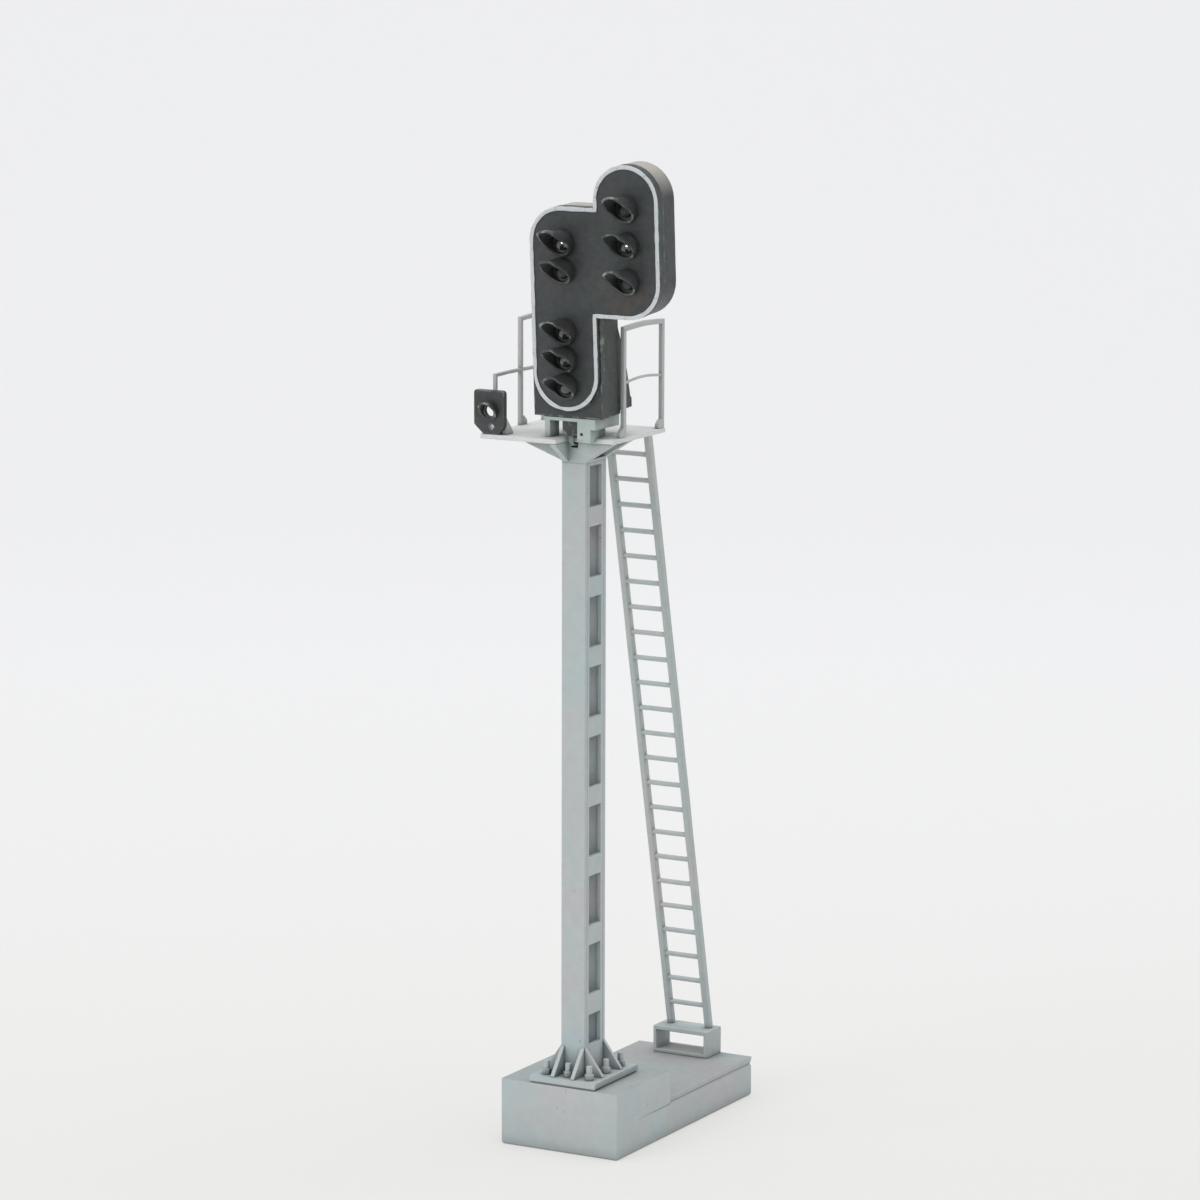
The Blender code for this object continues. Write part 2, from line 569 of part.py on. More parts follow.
def build_lamps(parts, tools, pivot, black, glass, board_paint):
    hood = hood_mesh("lamp_hood_shape", tools, HOOD_RADIUS, HOOD_LENGTH)
    lens = lens_mesh("lens_profile")
    hood.materials.clear()
    hood.materials.append(black)
    lens.materials.append(glass)
    for label, (x, z) in LAMP_PLACES.items():
        visor = bpy.data.objects.new(f"lamp_hood_{label}", hood)
        lamp = bpy.data.objects.new(f"lamp_lens_{label}", lens)
        for thing in (visor, lamp):
            parts.objects.link(thing)
            thing.parent = pivot
            thing.location = (x * MM, 0.0, z * MM)
        lamp.rotation_euler.x = math.pi / 2
        turn = lamp.modifiers.new("turn", "SCREW")
        turn.steps = turn.render_steps = 14
        turn.use_merge_vertices = True
        turn.merge_threshold = 1e-6
    plate("lamp_board", target_outline(BOARD_INSET, 4), [], "Y", BOARD_DEPTH, board_paint, parts,
          pivot)


# ---------------------------------------------------------------- marker lamp
def build_marker(parts, tools, paint, black):
    left, right = MARKER_X
    low, high = DECK_Z[1] + GAP, MARKER_TOP
    corner = MARKER_CORNER
    outline = [(left + CHAMFER_LEFT[0], low), (right - CHAMFER_RIGHT[0], low),
               (right, low + CHAMFER_RIGHT[1])]
    outline += arc((right - corner, high - corner), corner, 0, 90, 4)
    outline += arc((left + corner, high - corner), corner, 90, 180, 4)
    outline += [(left, low + CHAMFER_LEFT[1])]
    holes = [ring(SIGHT_CENTRE, SIGHT_RADIUS, 20), ring(PEG_CENTRE, PEG_RADIUS, 10)]
    plate("marker_plate", outline, holes, "Y", MARKER_Y, black, parts)

    mesh = hood_mesh("marker_hood_shape", tools, MARKER_HOOD_RADIUS, MARKER_HOOD_LENGTH)
    hood = place("marker_hood", mesh, black, parts)
    hood.location = (SIGHT_CENTRE[0] * MM, MARKER_Y[0] * MM, SIGHT_CENTRE[1] * MM)

    face = MARKER_Y[1] + GAP
    floor = low + CHEEK_FLOOR
    outer, inner = DECK_X[0] + 0.1, right
    foot = box("marker_bracket", (outer, inner), (face, CHEEK_REACH), (low, floor), paint, parts)
    cheek = [(face, low), (CHEEK_REACH, low), (CHEEK_REACH, floor), (face, CHEEK_TOP)]
    for side, x in (("left", outer), ("right", inner - CHEEK_THICKNESS)):
        add(foot, plate(f"marker_cheek_{side}", cheek, [], "X", (x, x + CHEEK_THICKNESS), None,
                        tools))


# ---------------------------------------------------------------- guard rails
def post_foot(post, low, way):
    """The foot of a post, from its front side to its rear side, with a small gusset on one side."""
    half = RAIL_Y_BAR / 2
    lug = [(post + way * half, low + FOOT_LUG_TOP),
           (post + way * (half + FOOT_LUG - FOOT_LUG_TIP), low + FOOT_LUG_HEIGHT),
           (post + way * (half + FOOT_LUG), low)]
    plain = [(post - way * half, low)]
    return lug + plain if way < 0 else plain + lug[::-1]


def build_right_rail(parts, paint):
    """Two posts and a top rail in one flat piece, and a thin bar between the posts."""
    low, high = DECK_Z[1] + GAP, RAIL_TOP
    half = RAIL_Y_BAR / 2
    front, rear = RIGHT_POSTS_Y
    inner = high - RAIL_Y_BAR
    outline = (post_foot(front, low, -1) + [(front + half, inner), (rear - half, inner)]
               + post_foot(rear, low, -1) + [(rear + half, high), (front - half, high)])
    x = RIGHT_RAIL_X
    plate("guard_rail_right", outline, [], "X", (x - RAIL_X_BAR / 2, x + RAIL_X_BAR / 2), paint,
          parts)
    rod("mid_rail_right", (x, MID_RAIL_Z), MID_RAIL_RADIUS, (front + half + GAP, rear - half - GAP),
        "Y", paint, parts, sides=8)


def build_left_rail(parts, paint):
    """The same frame, but its lower rail runs on forward to a short post of its own."""
    low, high = DECK_Z[1] + GAP, RAIL_TOP
    half, thin = RAIL_Y_BAR / 2, LOWER_BAR / 2
    front, rear = LEFT_POSTS_Y
    short = SHORT_POST_Y
    bar_low = LOWER_RAIL_TOP - LOWER_BAR
    outline = [(short - thin, low), (short + thin, low), (short + thin, bar_low),
               (front - half, bar_low)]
    outline += post_foot(front, low, 1)
    outline += [(front + half, bar_low), (rear - half, bar_low)]
    outline += post_foot(rear, low, 1)
    outline += [(rear + half, high), (front - half, high), (front - half, LOWER_RAIL_TOP),
                (short - thin, LOWER_RAIL_TOP)]
    opening = rectangle((front + half, rear - half), (LOWER_RAIL_TOP, high - RAIL_Y_BAR))
    x = LEFT_RAIL_X
    plate("guard_rail_left", outline, [opening], "X", (x - RAIL_X_BAR / 2, x + RAIL_X_BAR / 2),
          paint, parts)


# ---------------------------------------------------------------- ladder
def build_ladder(parts, tools, paint):
    run = LADDER_HEAD - LADDER_FOOT
    lean = math.atan2(-run.y, run.z)
    pivot = bpy.data.objects.new("ladder_pivot", None)
    parts.objects.link(pivot)
    pivot.location = LADDER_FOOT * MM
    pivot.rotation_euler.x = lean
    height = (LADDER_END, run.length - LADDER_END)
    inner = LADDER_GAP / 2
    left, right = (-inner - STILE_X, -inner), (inner, inner + STILE_X)
    depth = (-STILE_Y / 2, STILE_Y / 2)
    ladder = box("ladder", left, depth, height, paint, parts, pivot)
    add(ladder, box("stile_right", right, depth, height, None, tools))
    bm = bmesh.new()
    for number in range(RUNG_COUNT):
        rung_height = RUNG_FIRST + number * RUNG_PITCH
        made = bmesh.ops.create_cube(bm, size=1.0)["verts"]
        for vert in made:
            vert.co.x *= (LADDER_GAP + STILE_X) * MM
            vert.co.y = (vert.co.y * RUNG_SIZE - RUNG_SETBACK) * MM
            vert.co.z = (vert.co.z * RUNG_SIZE + rung_height) * MM
    mesh = bpy.data.meshes.new("rungs")
    bm.to_mesh(mesh)
    bm.free()
    add(ladder, place("rungs", mesh, None, tools))

    # A level arm from each stile's head holds the ladder under the deck's rear edge
    high = DECK_Z[0] - GAP
    corners = [(DECK_REAR - ARM_REACH, high - ARM_DEPTH), (LADDER_HEAD.y, high - ARM_DEPTH),
               (LADDER_HEAD.y, high), (DECK_REAR - ARM_REACH, high)]
    outline = []
    for y, z in corners:
        back, up = y - LADDER_FOOT.y, z - LADDER_FOOT.z
        outline.append((back * math.cos(lean) + up * math.sin(lean),
                        up * math.cos(lean) - back * math.sin(lean)))
    for side, (low_x, high_x) in (("left", left), ("right", right)):
        add(ladder, plate(f"arm_{side}", outline, [], "X", (low_x + 0.1, high_x - 0.1), None, tools))

    plate("ladder_foot_frame", rectangle(FOOT_FRAME_X, FOOT_FRAME_Z),
          [rectangle(FOOT_OPENING_X, FOOT_OPENING_Z)], "Y", FOOT_FRAME_Y, paint, parts)


# ---------------------------------------------------------------- wires
def build_wires(parts, insulation):
    """One bundle from the lamp board, down the duct and the mast, to the underside."""
    curve = bpy.data.curves.new("wire_bundle", "CURVE")
    curve.dimensions = "3D"
    curve.bevel_depth = WIRE_RADIUS * MM
    curve.bevel_resolution = 1
    curve.use_fill_caps = True
    duct_y = sum(DUCT_Y) / 2
    head_y = HEAD_FACE_Y + HEAD_WIRE_PLACE[1] - 0.07
    wire_x, wire_y = WIRE_PLACE
    mouth = DECK_Z[0] - GAP - MOUTH_HEIGHT / 2
    entry = MAST_Y[0] + 0.65
    path = [(0.0, head_y, HEAD_FOOT_Z + HEAD_WIRE_TOP), (0.0, head_y, HEAD_FOOT_Z + 0.3),
            (0.0, duct_y, SUPPORT_TOP - 0.5), (0.0, duct_y, mouth + 0.4),
            (0.0, duct_y + 0.3, mouth + 0.1), (0.0, entry, mouth), (wire_x + 0.3, wire_y, mouth),
            (wire_x, wire_y, mouth - 0.4), (wire_x, wire_y, 0.3)]
    spline = curve.splines.new("POLY")
    spline.points.add(len(path) - 1)
    for point, where in zip(spline.points, path):
        point.co = (*(value * MM for value in where), 1.0)
    bundle = bpy.data.objects.new("wire_bundle", curve)
    bundle.data.materials.append(insulation)
    parts.objects.link(bundle)


# ---------------------------------------------------------------- the whole model
def build():
    clear_scene()
    parts = make_collection("signal_mast")
    tools = make_collection("cutters")
    paint = make_material("grey_paint", (0.42, 0.45, 0.45), 0.62)
    steel = make_material("anchor_paint", (0.44, 0.46, 0.46), 0.5)
    black = make_material("black_paint", (0.045, 0.05, 0.05), 0.5)
    trim_paint = make_material("trim_paint", (0.45, 0.48, 0.5), 0.45)
    glass = make_material("lens_resin", (0.03, 0.03, 0.03), 0.08)
    board_paint = make_material("board_laminate", (0.03, 0.16, 0.07), 0.5)
    insulation = make_material("wire_enamel", (0.035, 0.037, 0.034), 0.45)

    build_foundation(parts, tools, paint)
    build_mast_foot(parts, tools, paint, steel)
    build_mast(parts, paint)
    build_mast_head(parts, tools, paint)
    build_platform(parts, paint)
    build_head_support(parts, tools, paint, black)

    pivot = bpy.data.objects.new("head_pivot", None)
    parts.objects.link(pivot)
    pivot.location = (0.0, HEAD_FACE_Y * MM, HEAD_FOOT_Z * MM)
    pivot.rotation_euler.x = HEAD_TILT
    build_head_shell(parts, tools, pivot, black, trim_paint)
    build_lamps(parts, tools, pivot, black, glass, board_paint)

    build_marker(parts, tools, paint, black)
    build_right_rail(parts, paint)
    build_left_rail(parts, paint)
    build_ladder(parts, tools, paint)
    build_wires(parts, insulation)


build()
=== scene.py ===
"""Looks for the model signal mast: fine surfaces, paint, lenses, studio and camera.

Lengths are millimetres on the model and MM turns them into Blender's metres. Every new piece holds
its points in the frame's own coordinates, so all pieces stay at the origin, like the CAD nodes.
"""

import math

import bmesh
import bpy
from mathutils import Matrix, Vector, noise


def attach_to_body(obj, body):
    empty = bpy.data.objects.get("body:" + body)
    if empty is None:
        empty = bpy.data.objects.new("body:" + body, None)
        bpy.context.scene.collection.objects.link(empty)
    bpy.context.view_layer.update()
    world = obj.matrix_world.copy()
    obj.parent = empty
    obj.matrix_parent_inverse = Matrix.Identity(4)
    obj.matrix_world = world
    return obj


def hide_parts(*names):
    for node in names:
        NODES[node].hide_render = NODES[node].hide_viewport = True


MM = 0.001
GAP = 0.02                              # left between neighbouring pieces
WELD_REACH = 0.002
FLAT_ANGLE, SMOOTH_ANGLE, EDGE_ANGLE = 1.5, 35.0, 38.0
OUTLINE_PITCH, OUTLINE_STEPS, BLOCK_PITCH = 0.45, 14, 1.5

noise.seed_set(7)                       # noise_vector starts from the clock unless it has a seed
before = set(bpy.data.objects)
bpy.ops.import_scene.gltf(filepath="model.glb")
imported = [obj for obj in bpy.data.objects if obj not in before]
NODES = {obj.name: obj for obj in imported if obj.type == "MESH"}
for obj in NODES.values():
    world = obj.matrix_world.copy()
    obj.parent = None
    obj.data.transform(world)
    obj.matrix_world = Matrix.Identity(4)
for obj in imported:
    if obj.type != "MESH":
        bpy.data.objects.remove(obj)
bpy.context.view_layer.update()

# Camera, at the photograph's viewpoint, and the share of the paper's tone that it gives off
CAMERA_PLACE = Vector((304.229, -541.770, 176.367)) * MM
CAMERA_AZIMUTH, CAMERA_ELEVATION, CAMERA_ROLL = 29.142, 9.791, 0.145
CAMERA_LENS, CAMERA_SENSOR = 153.35, 36.0
PAPER_GLOW = 0.72

# The signal head leans forward about its foot line
HEAD_PIVOT = Vector((0.0, -4.8, 92.35))
HEAD_TILT = math.radians(3.5)
COLUMN_LEFT, COLUMN_RIGHT, LOBE_RIGHT = -4.3, 4.7, 13.55
CORNER_RADIUS = 4.45
COLUMN_FOOT, SHOULDER = 0.87, 26.0
LOBE_FOOT, LOBE_TOP = 12.6, 31.4
LENS_RADIUS, LENS_COLLAR, LENS_CROWN = 0.95, 0.1, 0.6
HOOD_RADIUS, HOOD_WALL = 1.65, 0.28
HOOD_HOLLOW, HOOD_FOOT, HOOD_BROW = 1.6, 0.07, 1.7
HOOD_SIDES, HOOD_ROWS = 56, 12
HOOD_RIM = ((0.0, 0.09), (0.03, 0.02))  # in from a face of the wall, and back from the edge
RIM_ROWS = 2 * len(HOOD_RIM) + 1        # rings that round a hood's free edge
HOOD_FIXED, HOOD_WOBBLE, HOOD_WOBBLE_PITCH = 0.6, 0.1, 1.3
LENS_BARREL, LENS_TAIL, LENS_TAPER = 0.8, 1.9, 0.05
LENS_STEPS, LENS_SIDES = 10, 40
TRIM_HALF, TRIM_THICK, TRIM_SEAT, TRIM_MARGIN = 0.25, 0.05, 0.045, 0.01
TRIM_WANDER, TRIM_LOW_WANDER, TRIM_LOW = 0.3, 1.6, 4.0
# Each lamp: place across and up on the panel, its hood's tilt up and turn aside in degrees, and length
LAMPS = {"left_1": (0.2, 3.9, 3.0, 1.0, 4.1), "left_2": (0.2, 7.3, 3.0, 0.0, 4.2),
         "left_3": (0.2, 10.7, 3.5, -1.0, 4.2), "left_4": (0.2, 18.15, 3.0, 1.5, 4.2),
         "left_5": (0.2, 21.6, 6.0, 0.0, 4.3), "right_1": (9.12, 17.25, 4.0, -1.0, 4.2),
         "right_2": (9.12, 21.65, 6.0, 1.0, 4.2), "right_3": (9.12, 26.05, 6.0, 1.0, 4.2)}
DULL_LAMPS = ("left_4", "right_1", "right_3")      # their lenses are matt, with no bright point
SIGHT_PLACE, SIGHT_HOOD = Vector((-10.2, -5.8, 92.65)), (1.2, 0.28, 1.3)
PEG_PLACE = (-9.87, -5.45, 90.7)

# Foundation
BASE_X, BASE_Y, BASE_CORNER = (-8.74, 7.96), (-5.64, 30.45), 0.3
SLAB_TOP, PLINTH_REAR, PLINTH_TOP = 4.2, 8.15, 8.48
SLAB_EDGE = ((0.0, 0.34), (0.05, 0.19), (0.16, 0.07), (0.34, 0.0))     # height, and inset there
PLINTH_EDGE = ((0.12, 0.0), (0.035, 0.035), (0.0, 0.12))    # depth under the top, and inset there
GROOVE_DEPTH, GROOVE_HEIGHT, GROOVE_START, GROOVE_RUN = 0.22, 0.3, -2.0, 9.0
SQUARE_CORNER, CORNER_STEPS = 0.02, 5
SLAB_GROWTH, JOINT_GROWTH = 0.95 * GAP, 0.9 * GAP       # how far a piece grows up to touch the next
WIRE_PLACE, WIRE_HOLE = (-0.65, -1.35), 0.45
STUD_PLACES = [(-3.0, -4.1), (0.1, -4.1), (3.1, -4.1), (3.2, 0.0),
               (3.1, 3.9), (0.0, 3.9), (-3.0, 3.9), (-3.2, 0.0)]
STUD_HOLE, STUD_BOTTOM = 0.42, 7.3
HOLE_SIDES, CUTTER_EXCESS = 16, 1.0
MAST_TOP, DUCT_END = 86.5, 90.2

# Guard rails and ladder
DECK_TOP, DECK_UNDERSIDE, DECK_REAR = 89.75, 89.15, 10.4
RAIL_X_HALF, RAIL_Y_HALF, RAIL_CORNER, RAIL_TOP = 0.27, 0.32, 0.09, 103.35
RAIL_OVERLAP, RAIL_STEPS = 0.05, 12
RAIL_WOBBLE, RAIL_WOBBLE_PITCH = 0.035, 2.5
RIGHT_BOW, LEFT_BOW, MID_BOW, MID_DROP = 0.2, 0.1, 0.35, 0.05
LEFT_SLIM = 0.9                         # the left rail's bars over the right one's, across one side
RIGHT_RAIL_X, RIGHT_POSTS_Y = 5.21, (0.26, 10.04)
LEFT_RAIL_X, LEFT_POSTS_Y = -11.1, (3.4, 9.2)
SHORT_POST_Y, LOWER_HALF, LOWER_RAIL_TOP = -2.8, 0.21, 96.85
LOWER_BEND_Y, LOWER_BEND_RISE = 0.4, 0.08
MID_RAIL_Z, MID_RAIL_RADIUS, MID_RAIL_STEPS = 96.4, 0.17, 14
# A post's gusset: out from the post and up from the deck, then its layers' inset and place across
LUG_OUTLINE = ((0.0, 0.0), (0.0, 1.2), (0.25, 1.1), (0.8, 0.65), (0.98, 0.45), (0.98, 0.0))
LUG_LAYERS = ((0.07, -1.0), (0.0, -0.75), (0.0, 0.75), (0.07, 1.0))
LUG_MIDDLE = (0.45, 0.4)
LADDER_FOOT = Vector((-0.3, 28.81, 8.70))
LADDER_HEAD = Vector((-0.3, 11.45, 89.1))
STILE_PLACE, STILE_HALF_X, STILE_HALF_Y, STILE_CORNER = 2.77, 0.41, 0.525, 0.2
STILE_END, STILE_WANDER, STILE_WANDER_PER_MM, STILE_STEPS = 0.15, 0.05, 0.12, 40
ARM_HALF_X, ARM_HALF_Z, ARM_CORNER, ARM_DROP, ARM_REACH = 0.29, 0.24, 0.08, 0.25, 0.8
RUNG_COUNT, RUNG_FIRST, RUNG_PITCH, RUNG_RADIUS = 23, 3.14, 3.447, 0.31
RUNG_FORWARD, RUNG_SAG, RUNG_STEPS = 0.12, 0.06, 6

# Wires from the head into the mast
WIRE_PATH = [(0.0, -3.25, 94.5), (0.0, -3.25, 92.65), (0.0, -3.375, 91.8), (0.0, -3.375, 89.2),
             (0.0, -3.1, 88.9), (0.0, -2.0, 88.79), (-0.4, -1.35, 88.79), (-0.65, -1.35, 88.4),
             (-0.65, -1.35, 0.6)]
WIRE_STRANDS, WIRE_STRAND_RADIUS, WIRE_SPREAD = 4, 0.13, 0.15
WIRE_TWIST, WIRE_PITCH = 0.9, 0.5       # radians a millimetre, and millimetres a point


# ------------------------------------------------------------------ mesh helpers
def new_object(name, bm, material, smooth_angle=SMOOTH_ANGLE):
    mesh = bpy.data.meshes.new(name)
    bmesh.ops.recalc_face_normals(bm, faces=bm.faces)
    bm.to_mesh(mesh)
    bm.free()
    mesh.materials.append(material)
    thing = bpy.data.objects.new(name, mesh)
    bpy.context.scene.collection.objects.link(thing)
    mesh.shade_smooth()
    mesh.set_sharp_from_angle(angle=math.radians(smooth_angle))
    return thing


def attach(piece, *nodes):
    """The piece rides on the one body and stands for these CAD nodes."""
    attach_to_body(piece, "root")
    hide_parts(*nodes)


def node_mesh(*nodes, merge=True):
    """CAD nodes as one clean bmesh: welded, and with flat faces merged again if asked.

    A face with an opening in it isn't merged: it would close over the opening.
    """
    bm = bmesh.new()
    for node in nodes:
        bm.from_mesh(NODES[node].data)
    bmesh.ops.remove_doubles(bm, verts=bm.verts, dist=WELD_REACH * MM)
    if merge:
        bmesh.ops.dissolve_limit(bm, angle_limit=math.radians(FLAT_ANGLE), verts=bm.verts, edges=bm.edges)
    return bm


def refine(node, material, width, segments=2, joint=None, merge=True):
    """The same shape as the CAD node, with its edges rounded to a width, as printed edges are.

    At a joint's height the piece grows up, to touch its neighbour.
    """
    bm = node_mesh(node, merge=merge)
    for vert in bm.verts:
        if joint and abs(vert.co.z / MM - joint) < GAP / 2:
            vert.co.z += JOINT_GROWTH * MM
    piece = new_object(node + "_look", bm, material)
    bevel = piece.modifiers.new("worn_edges", "BEVEL")
    bevel.width = width * MM
    bevel.segments = segments
    bevel.limit_method = "ANGLE"
    bevel.angle_limit = math.radians(EDGE_ANGLE)
    bevel.miter_outer = "MITER_ARC"
    shade = piece.modifiers.new("even_shading", "WEIGHTED_NORMAL")
    shade.keep_sharp = True
    shade.weight = 80
    attach(piece, node)
    return piece


def loft(bm, rings, closed=False):
    """Skins rings of points that all have the same count, with flat ends unless closed."""
    rows = [[bm.verts.new(Vector(point) * MM) for point in ring] for ring in rings]
    pairs = list(zip(rows, rows[1:]))
    if closed:
        pairs.append((rows[-1], rows[0]))
    count = len(rows[0])
    for low, high in pairs:
        for index in range(count):
            after = (index + 1) % count
            bm.faces.new((low[index], low[after], high[after], high[index]))
    if not closed:
        bm.faces.new(rows[0])
        bm.faces.new(rows[-1])
    return rows


def section(half_u, half_v, corner, steps=3):
    """A rectangle with rounded corners about the origin."""
    points = []
    for number, (u, v) in enumerate(((1, 1), (-1, 1), (-1, -1), (1, -1))):
        for step in range(steps + 1):
            angle = math.pi / 2 * (number + step / steps)
            points.append((u * (half_u - corner) + corner * math.cos(angle),
                           v * (half_v - corner) + corner * math.sin(angle)))
    return points


def round_section(radius, steps=3):
    return section(radius, radius, 0.98 * radius, steps)


def sweep(bm, path, profile, side):
    """Carries a profile along a path, mitred at its corners; its first axis stays near `side`."""
    points = [Vector(point) for point in path]
    rings = []
    for index, point in enumerate(points):
        before = (point - points[index - 1]).normalized() if index else None
        after = (points[index + 1] - point).normalized() if index < len(points) - 1 else None
        along = ((before or after) + (after or before)).normalized()
        across = (Vector(side) - along * along.dot(Vector(side))).normalized()
        up = along.cross(across)
        mitre = 1.0 / max(0.5, along.dot(after or before))
        rings.append([point + across * u + up * (v * mitre) for u, v in profile])
    loft(bm, rings)


def arc(centre, radius, start, end, steps):
    points = []
    for step in range(steps + 1):
        angle = math.radians(start + (end - start) * step / steps)
        points.append((centre[0] + radius * math.cos(angle), centre[1] + radius * math.sin(angle)))
    return points


def straight(start, end, pitch):
    """Points between two places, neither of them included, at about this pitch."""
    steps = max(1, round(math.dist(start, end) / pitch))
    return [tuple(a + (b - a) * step / steps for a, b in zip(start, end)) for step in range(1, steps)]


def dense_outline(points, pitch=OUTLINE_PITCH):
    """The outline again, with points added along its straight runs."""
    result = []
    for point, after in zip(points, points[1:] + points[:1]):
        result.append(point)
        result += straight(point, after, pitch)
    return result


def target_outline(offset):
    """The target's outline, moved inward by an offset: two columns of nearly one width, side by side."""
    radius = CORNER_RADIUS - offset
    left, right = COLUMN_LEFT + offset, COLUMN_RIGHT - offset
    column_middle = (COLUMN_LEFT + COLUMN_RIGHT) / 2
    lobe_middle = LOBE_RIGHT - CORNER_RADIUS
    half_column = (right - left) / 2
    foot_middle = (column_middle, COLUMN_FOOT + offset + half_column)
    points = arc(foot_middle, half_column, 180, 360, 2 * OUTLINE_STEPS)
    points += [(right, LOBE_FOOT + offset)]
    points += arc((lobe_middle, LOBE_FOOT + CORNER_RADIUS), radius, 270, 360, OUTLINE_STEPS)
    points += arc((lobe_middle, LOBE_TOP - CORNER_RADIUS), radius, 0, 180, 2 * OUTLINE_STEPS)
    points += [(lobe_middle - radius, SHOULDER - offset)]
    points += arc((COLUMN_LEFT + CORNER_RADIUS, SHOULDER - CORNER_RADIUS), radius, 90, 180, OUTLINE_STEPS)
    return points


LENSES = bpy.data.collections.new("lit_lenses")
HEAD_MATRIX = Matrix.Translation(HEAD_PIVOT) @ Matrix.Rotation(HEAD_TILT, 4, "X")


def to_head(bm, matrix=HEAD_MATRIX):
    """Moves points made in the head's own frame (millimetres) to their place on the model."""
    for vert in bm.verts:
        vert.co = (matrix @ (vert.co / MM)) * MM


def roughen(bm, amount, pitch, seed):
    """Pushes points about by smooth noise, as hand-finished parts are never quite true."""
    for vert in bm.verts:
        where = vert.co / MM / pitch + Vector((seed, seed * 0.7, -seed))
        vert.co += noise.noise_vector(where) * amount * MM


# ------------------------------------------------------------------ material helpers
class Tree:
    """A small wrapper that makes node trees read like formulas."""

    def __init__(self, name):
        self.material = bpy.data.materials.new(name)
        self.material.use_nodes = True
        self.nodes = self.material.node_tree.nodes
        self.links = self.material.node_tree.links
        self.shader = self.nodes["Principled BSDF"]
        coordinates = self.node("ShaderNodeTexCoord")
        scale = self.node("ShaderNodeVectorMath", operation="SCALE")
        scale.inputs["Scale"].default_value = 1 / MM
        self.links.new(coordinates.outputs["Object"], scale.inputs[0])
        self.place = scale.outputs[0]

    def node(self, kind, **settings):
        made = self.nodes.new(kind)
        for key, value in settings.items():
            setattr(made, key, value)
        return made

    def feed(self, socket, value):
        if isinstance(value, bpy.types.NodeSocket):
            self.links.new(value, socket)
        else:
            socket.default_value = value

    def noise(self, per_mm, detail=3.0, roughness=0.55, shift=0.0, stretch=None):
        mapping = self.node("ShaderNodeMapping")
        self.feed(mapping.inputs["Vector"], self.place)
        mapping.inputs["Location"].default_value = (shift, shift * 1.7, -shift)
        mapping.inputs["Scale"].default_value = stretch or (1.0, 1.0, 1.0)
        made = self.node("ShaderNodeTexNoise")
        self.feed(made.inputs["Vector"], mapping.outputs[0])
        made.inputs["Scale"].default_value = per_mm
        made.inputs["Detail"].default_value = detail
        made.inputs["Roughness"].default_value = roughness
        return made.outputs["Fac"]

    def ramp(self, factor, *stops):
        made = self.node("ShaderNodeValToRGB")
        self.feed(made.inputs["Fac"], factor)
        elements = made.color_ramp.elements
        while len(elements) < len(stops):
            elements.new(0.5)
        for element, (position, colour) in zip(elements, stops):
            element.position = position
            element.color = (*colour, 1.0) if isinstance(colour, tuple) else (colour,) * 3 + (1.0,)
        return made.outputs["Color"]

    def mix(self, factor, first, second, blend="MIX"):
        made = self.node("ShaderNodeMix", data_type="RGBA", blend_type=blend)
        self.feed(made.inputs["Factor"], factor)
        for socket, value in ((made.inputs[6], first), (made.inputs[7], second)):
            self.feed(socket, value if isinstance(value, bpy.types.NodeSocket) else (*value, 1.0))
        return made.outputs[2]

    def math(self, operation, first, second):
        made = self.node("ShaderNodeMath", operation=operation)
        self.feed(made.inputs[0], first)
        self.feed(made.inputs[1], second)
        return made.outputs[0]

    def span(self, factor, low, high):
        """Maps a 0 to 1 factor onto a range of values."""
        made = self.node("ShaderNodeMapRange")
        self.feed(made.inputs["Value"], factor)
        made.inputs["To Min"].default_value = low
        made.inputs["To Max"].default_value = high
        return made.outputs[0]

    def painted_shade_mask(self, reach, low, high):
        """Painted shade: 0 in corners and hollows, where shade falls, 1 on open faces."""
        made = self.node("ShaderNodeAmbientOcclusion", samples=8)
        made.inputs["Distance"].default_value = reach * MM
        remap = self.node("ShaderNodeMapRange")
        self.feed(remap.inputs["Value"], made.outputs["AO"])
        remap.inputs["From Min"].default_value = low
        remap.inputs["From Max"].default_value = high
        return remap.outputs[0]

    def edges(self, reach, low, high):
        """1 along outer edges, 0 on flat faces."""
        inside = self.node("ShaderNodeAmbientOcclusion", samples=8, inside=True, only_local=True)
        inside.inputs["Distance"].default_value = reach * MM
        return self.ramp(inside.outputs["AO"], (low, 1.0), (high, 0.0))

    def facing_up(self):
        """1 where a face looks up, 0 where it's upright."""
        normal = self.node("ShaderNodeSeparateXYZ")
        self.feed(normal.inputs[0], self.node("ShaderNodeNewGeometry").outputs["Normal"])
        return normal.outputs["Z"]

    def bump(self, height, depth, under=None):
        made = self.node("ShaderNodeBump")
        made.inputs["Strength"].default_value = 1.0
        made.inputs["Distance"].default_value = depth * MM
        self.feed(made.inputs["Height"], height)
        if under:
            self.feed(made.inputs["Normal"], under)
        return made.outputs[0]

    def finish(self, colour, rough, normal, specular=0.4):
        self.feed(self.shader.inputs["Base Color"], colour)
        self.feed(self.shader.inputs["Roughness"], rough)
        self.feed(self.shader.inputs["Normal"], normal)
        self.shader.inputs["Specular IOR Level"].default_value = specular
        return self.material


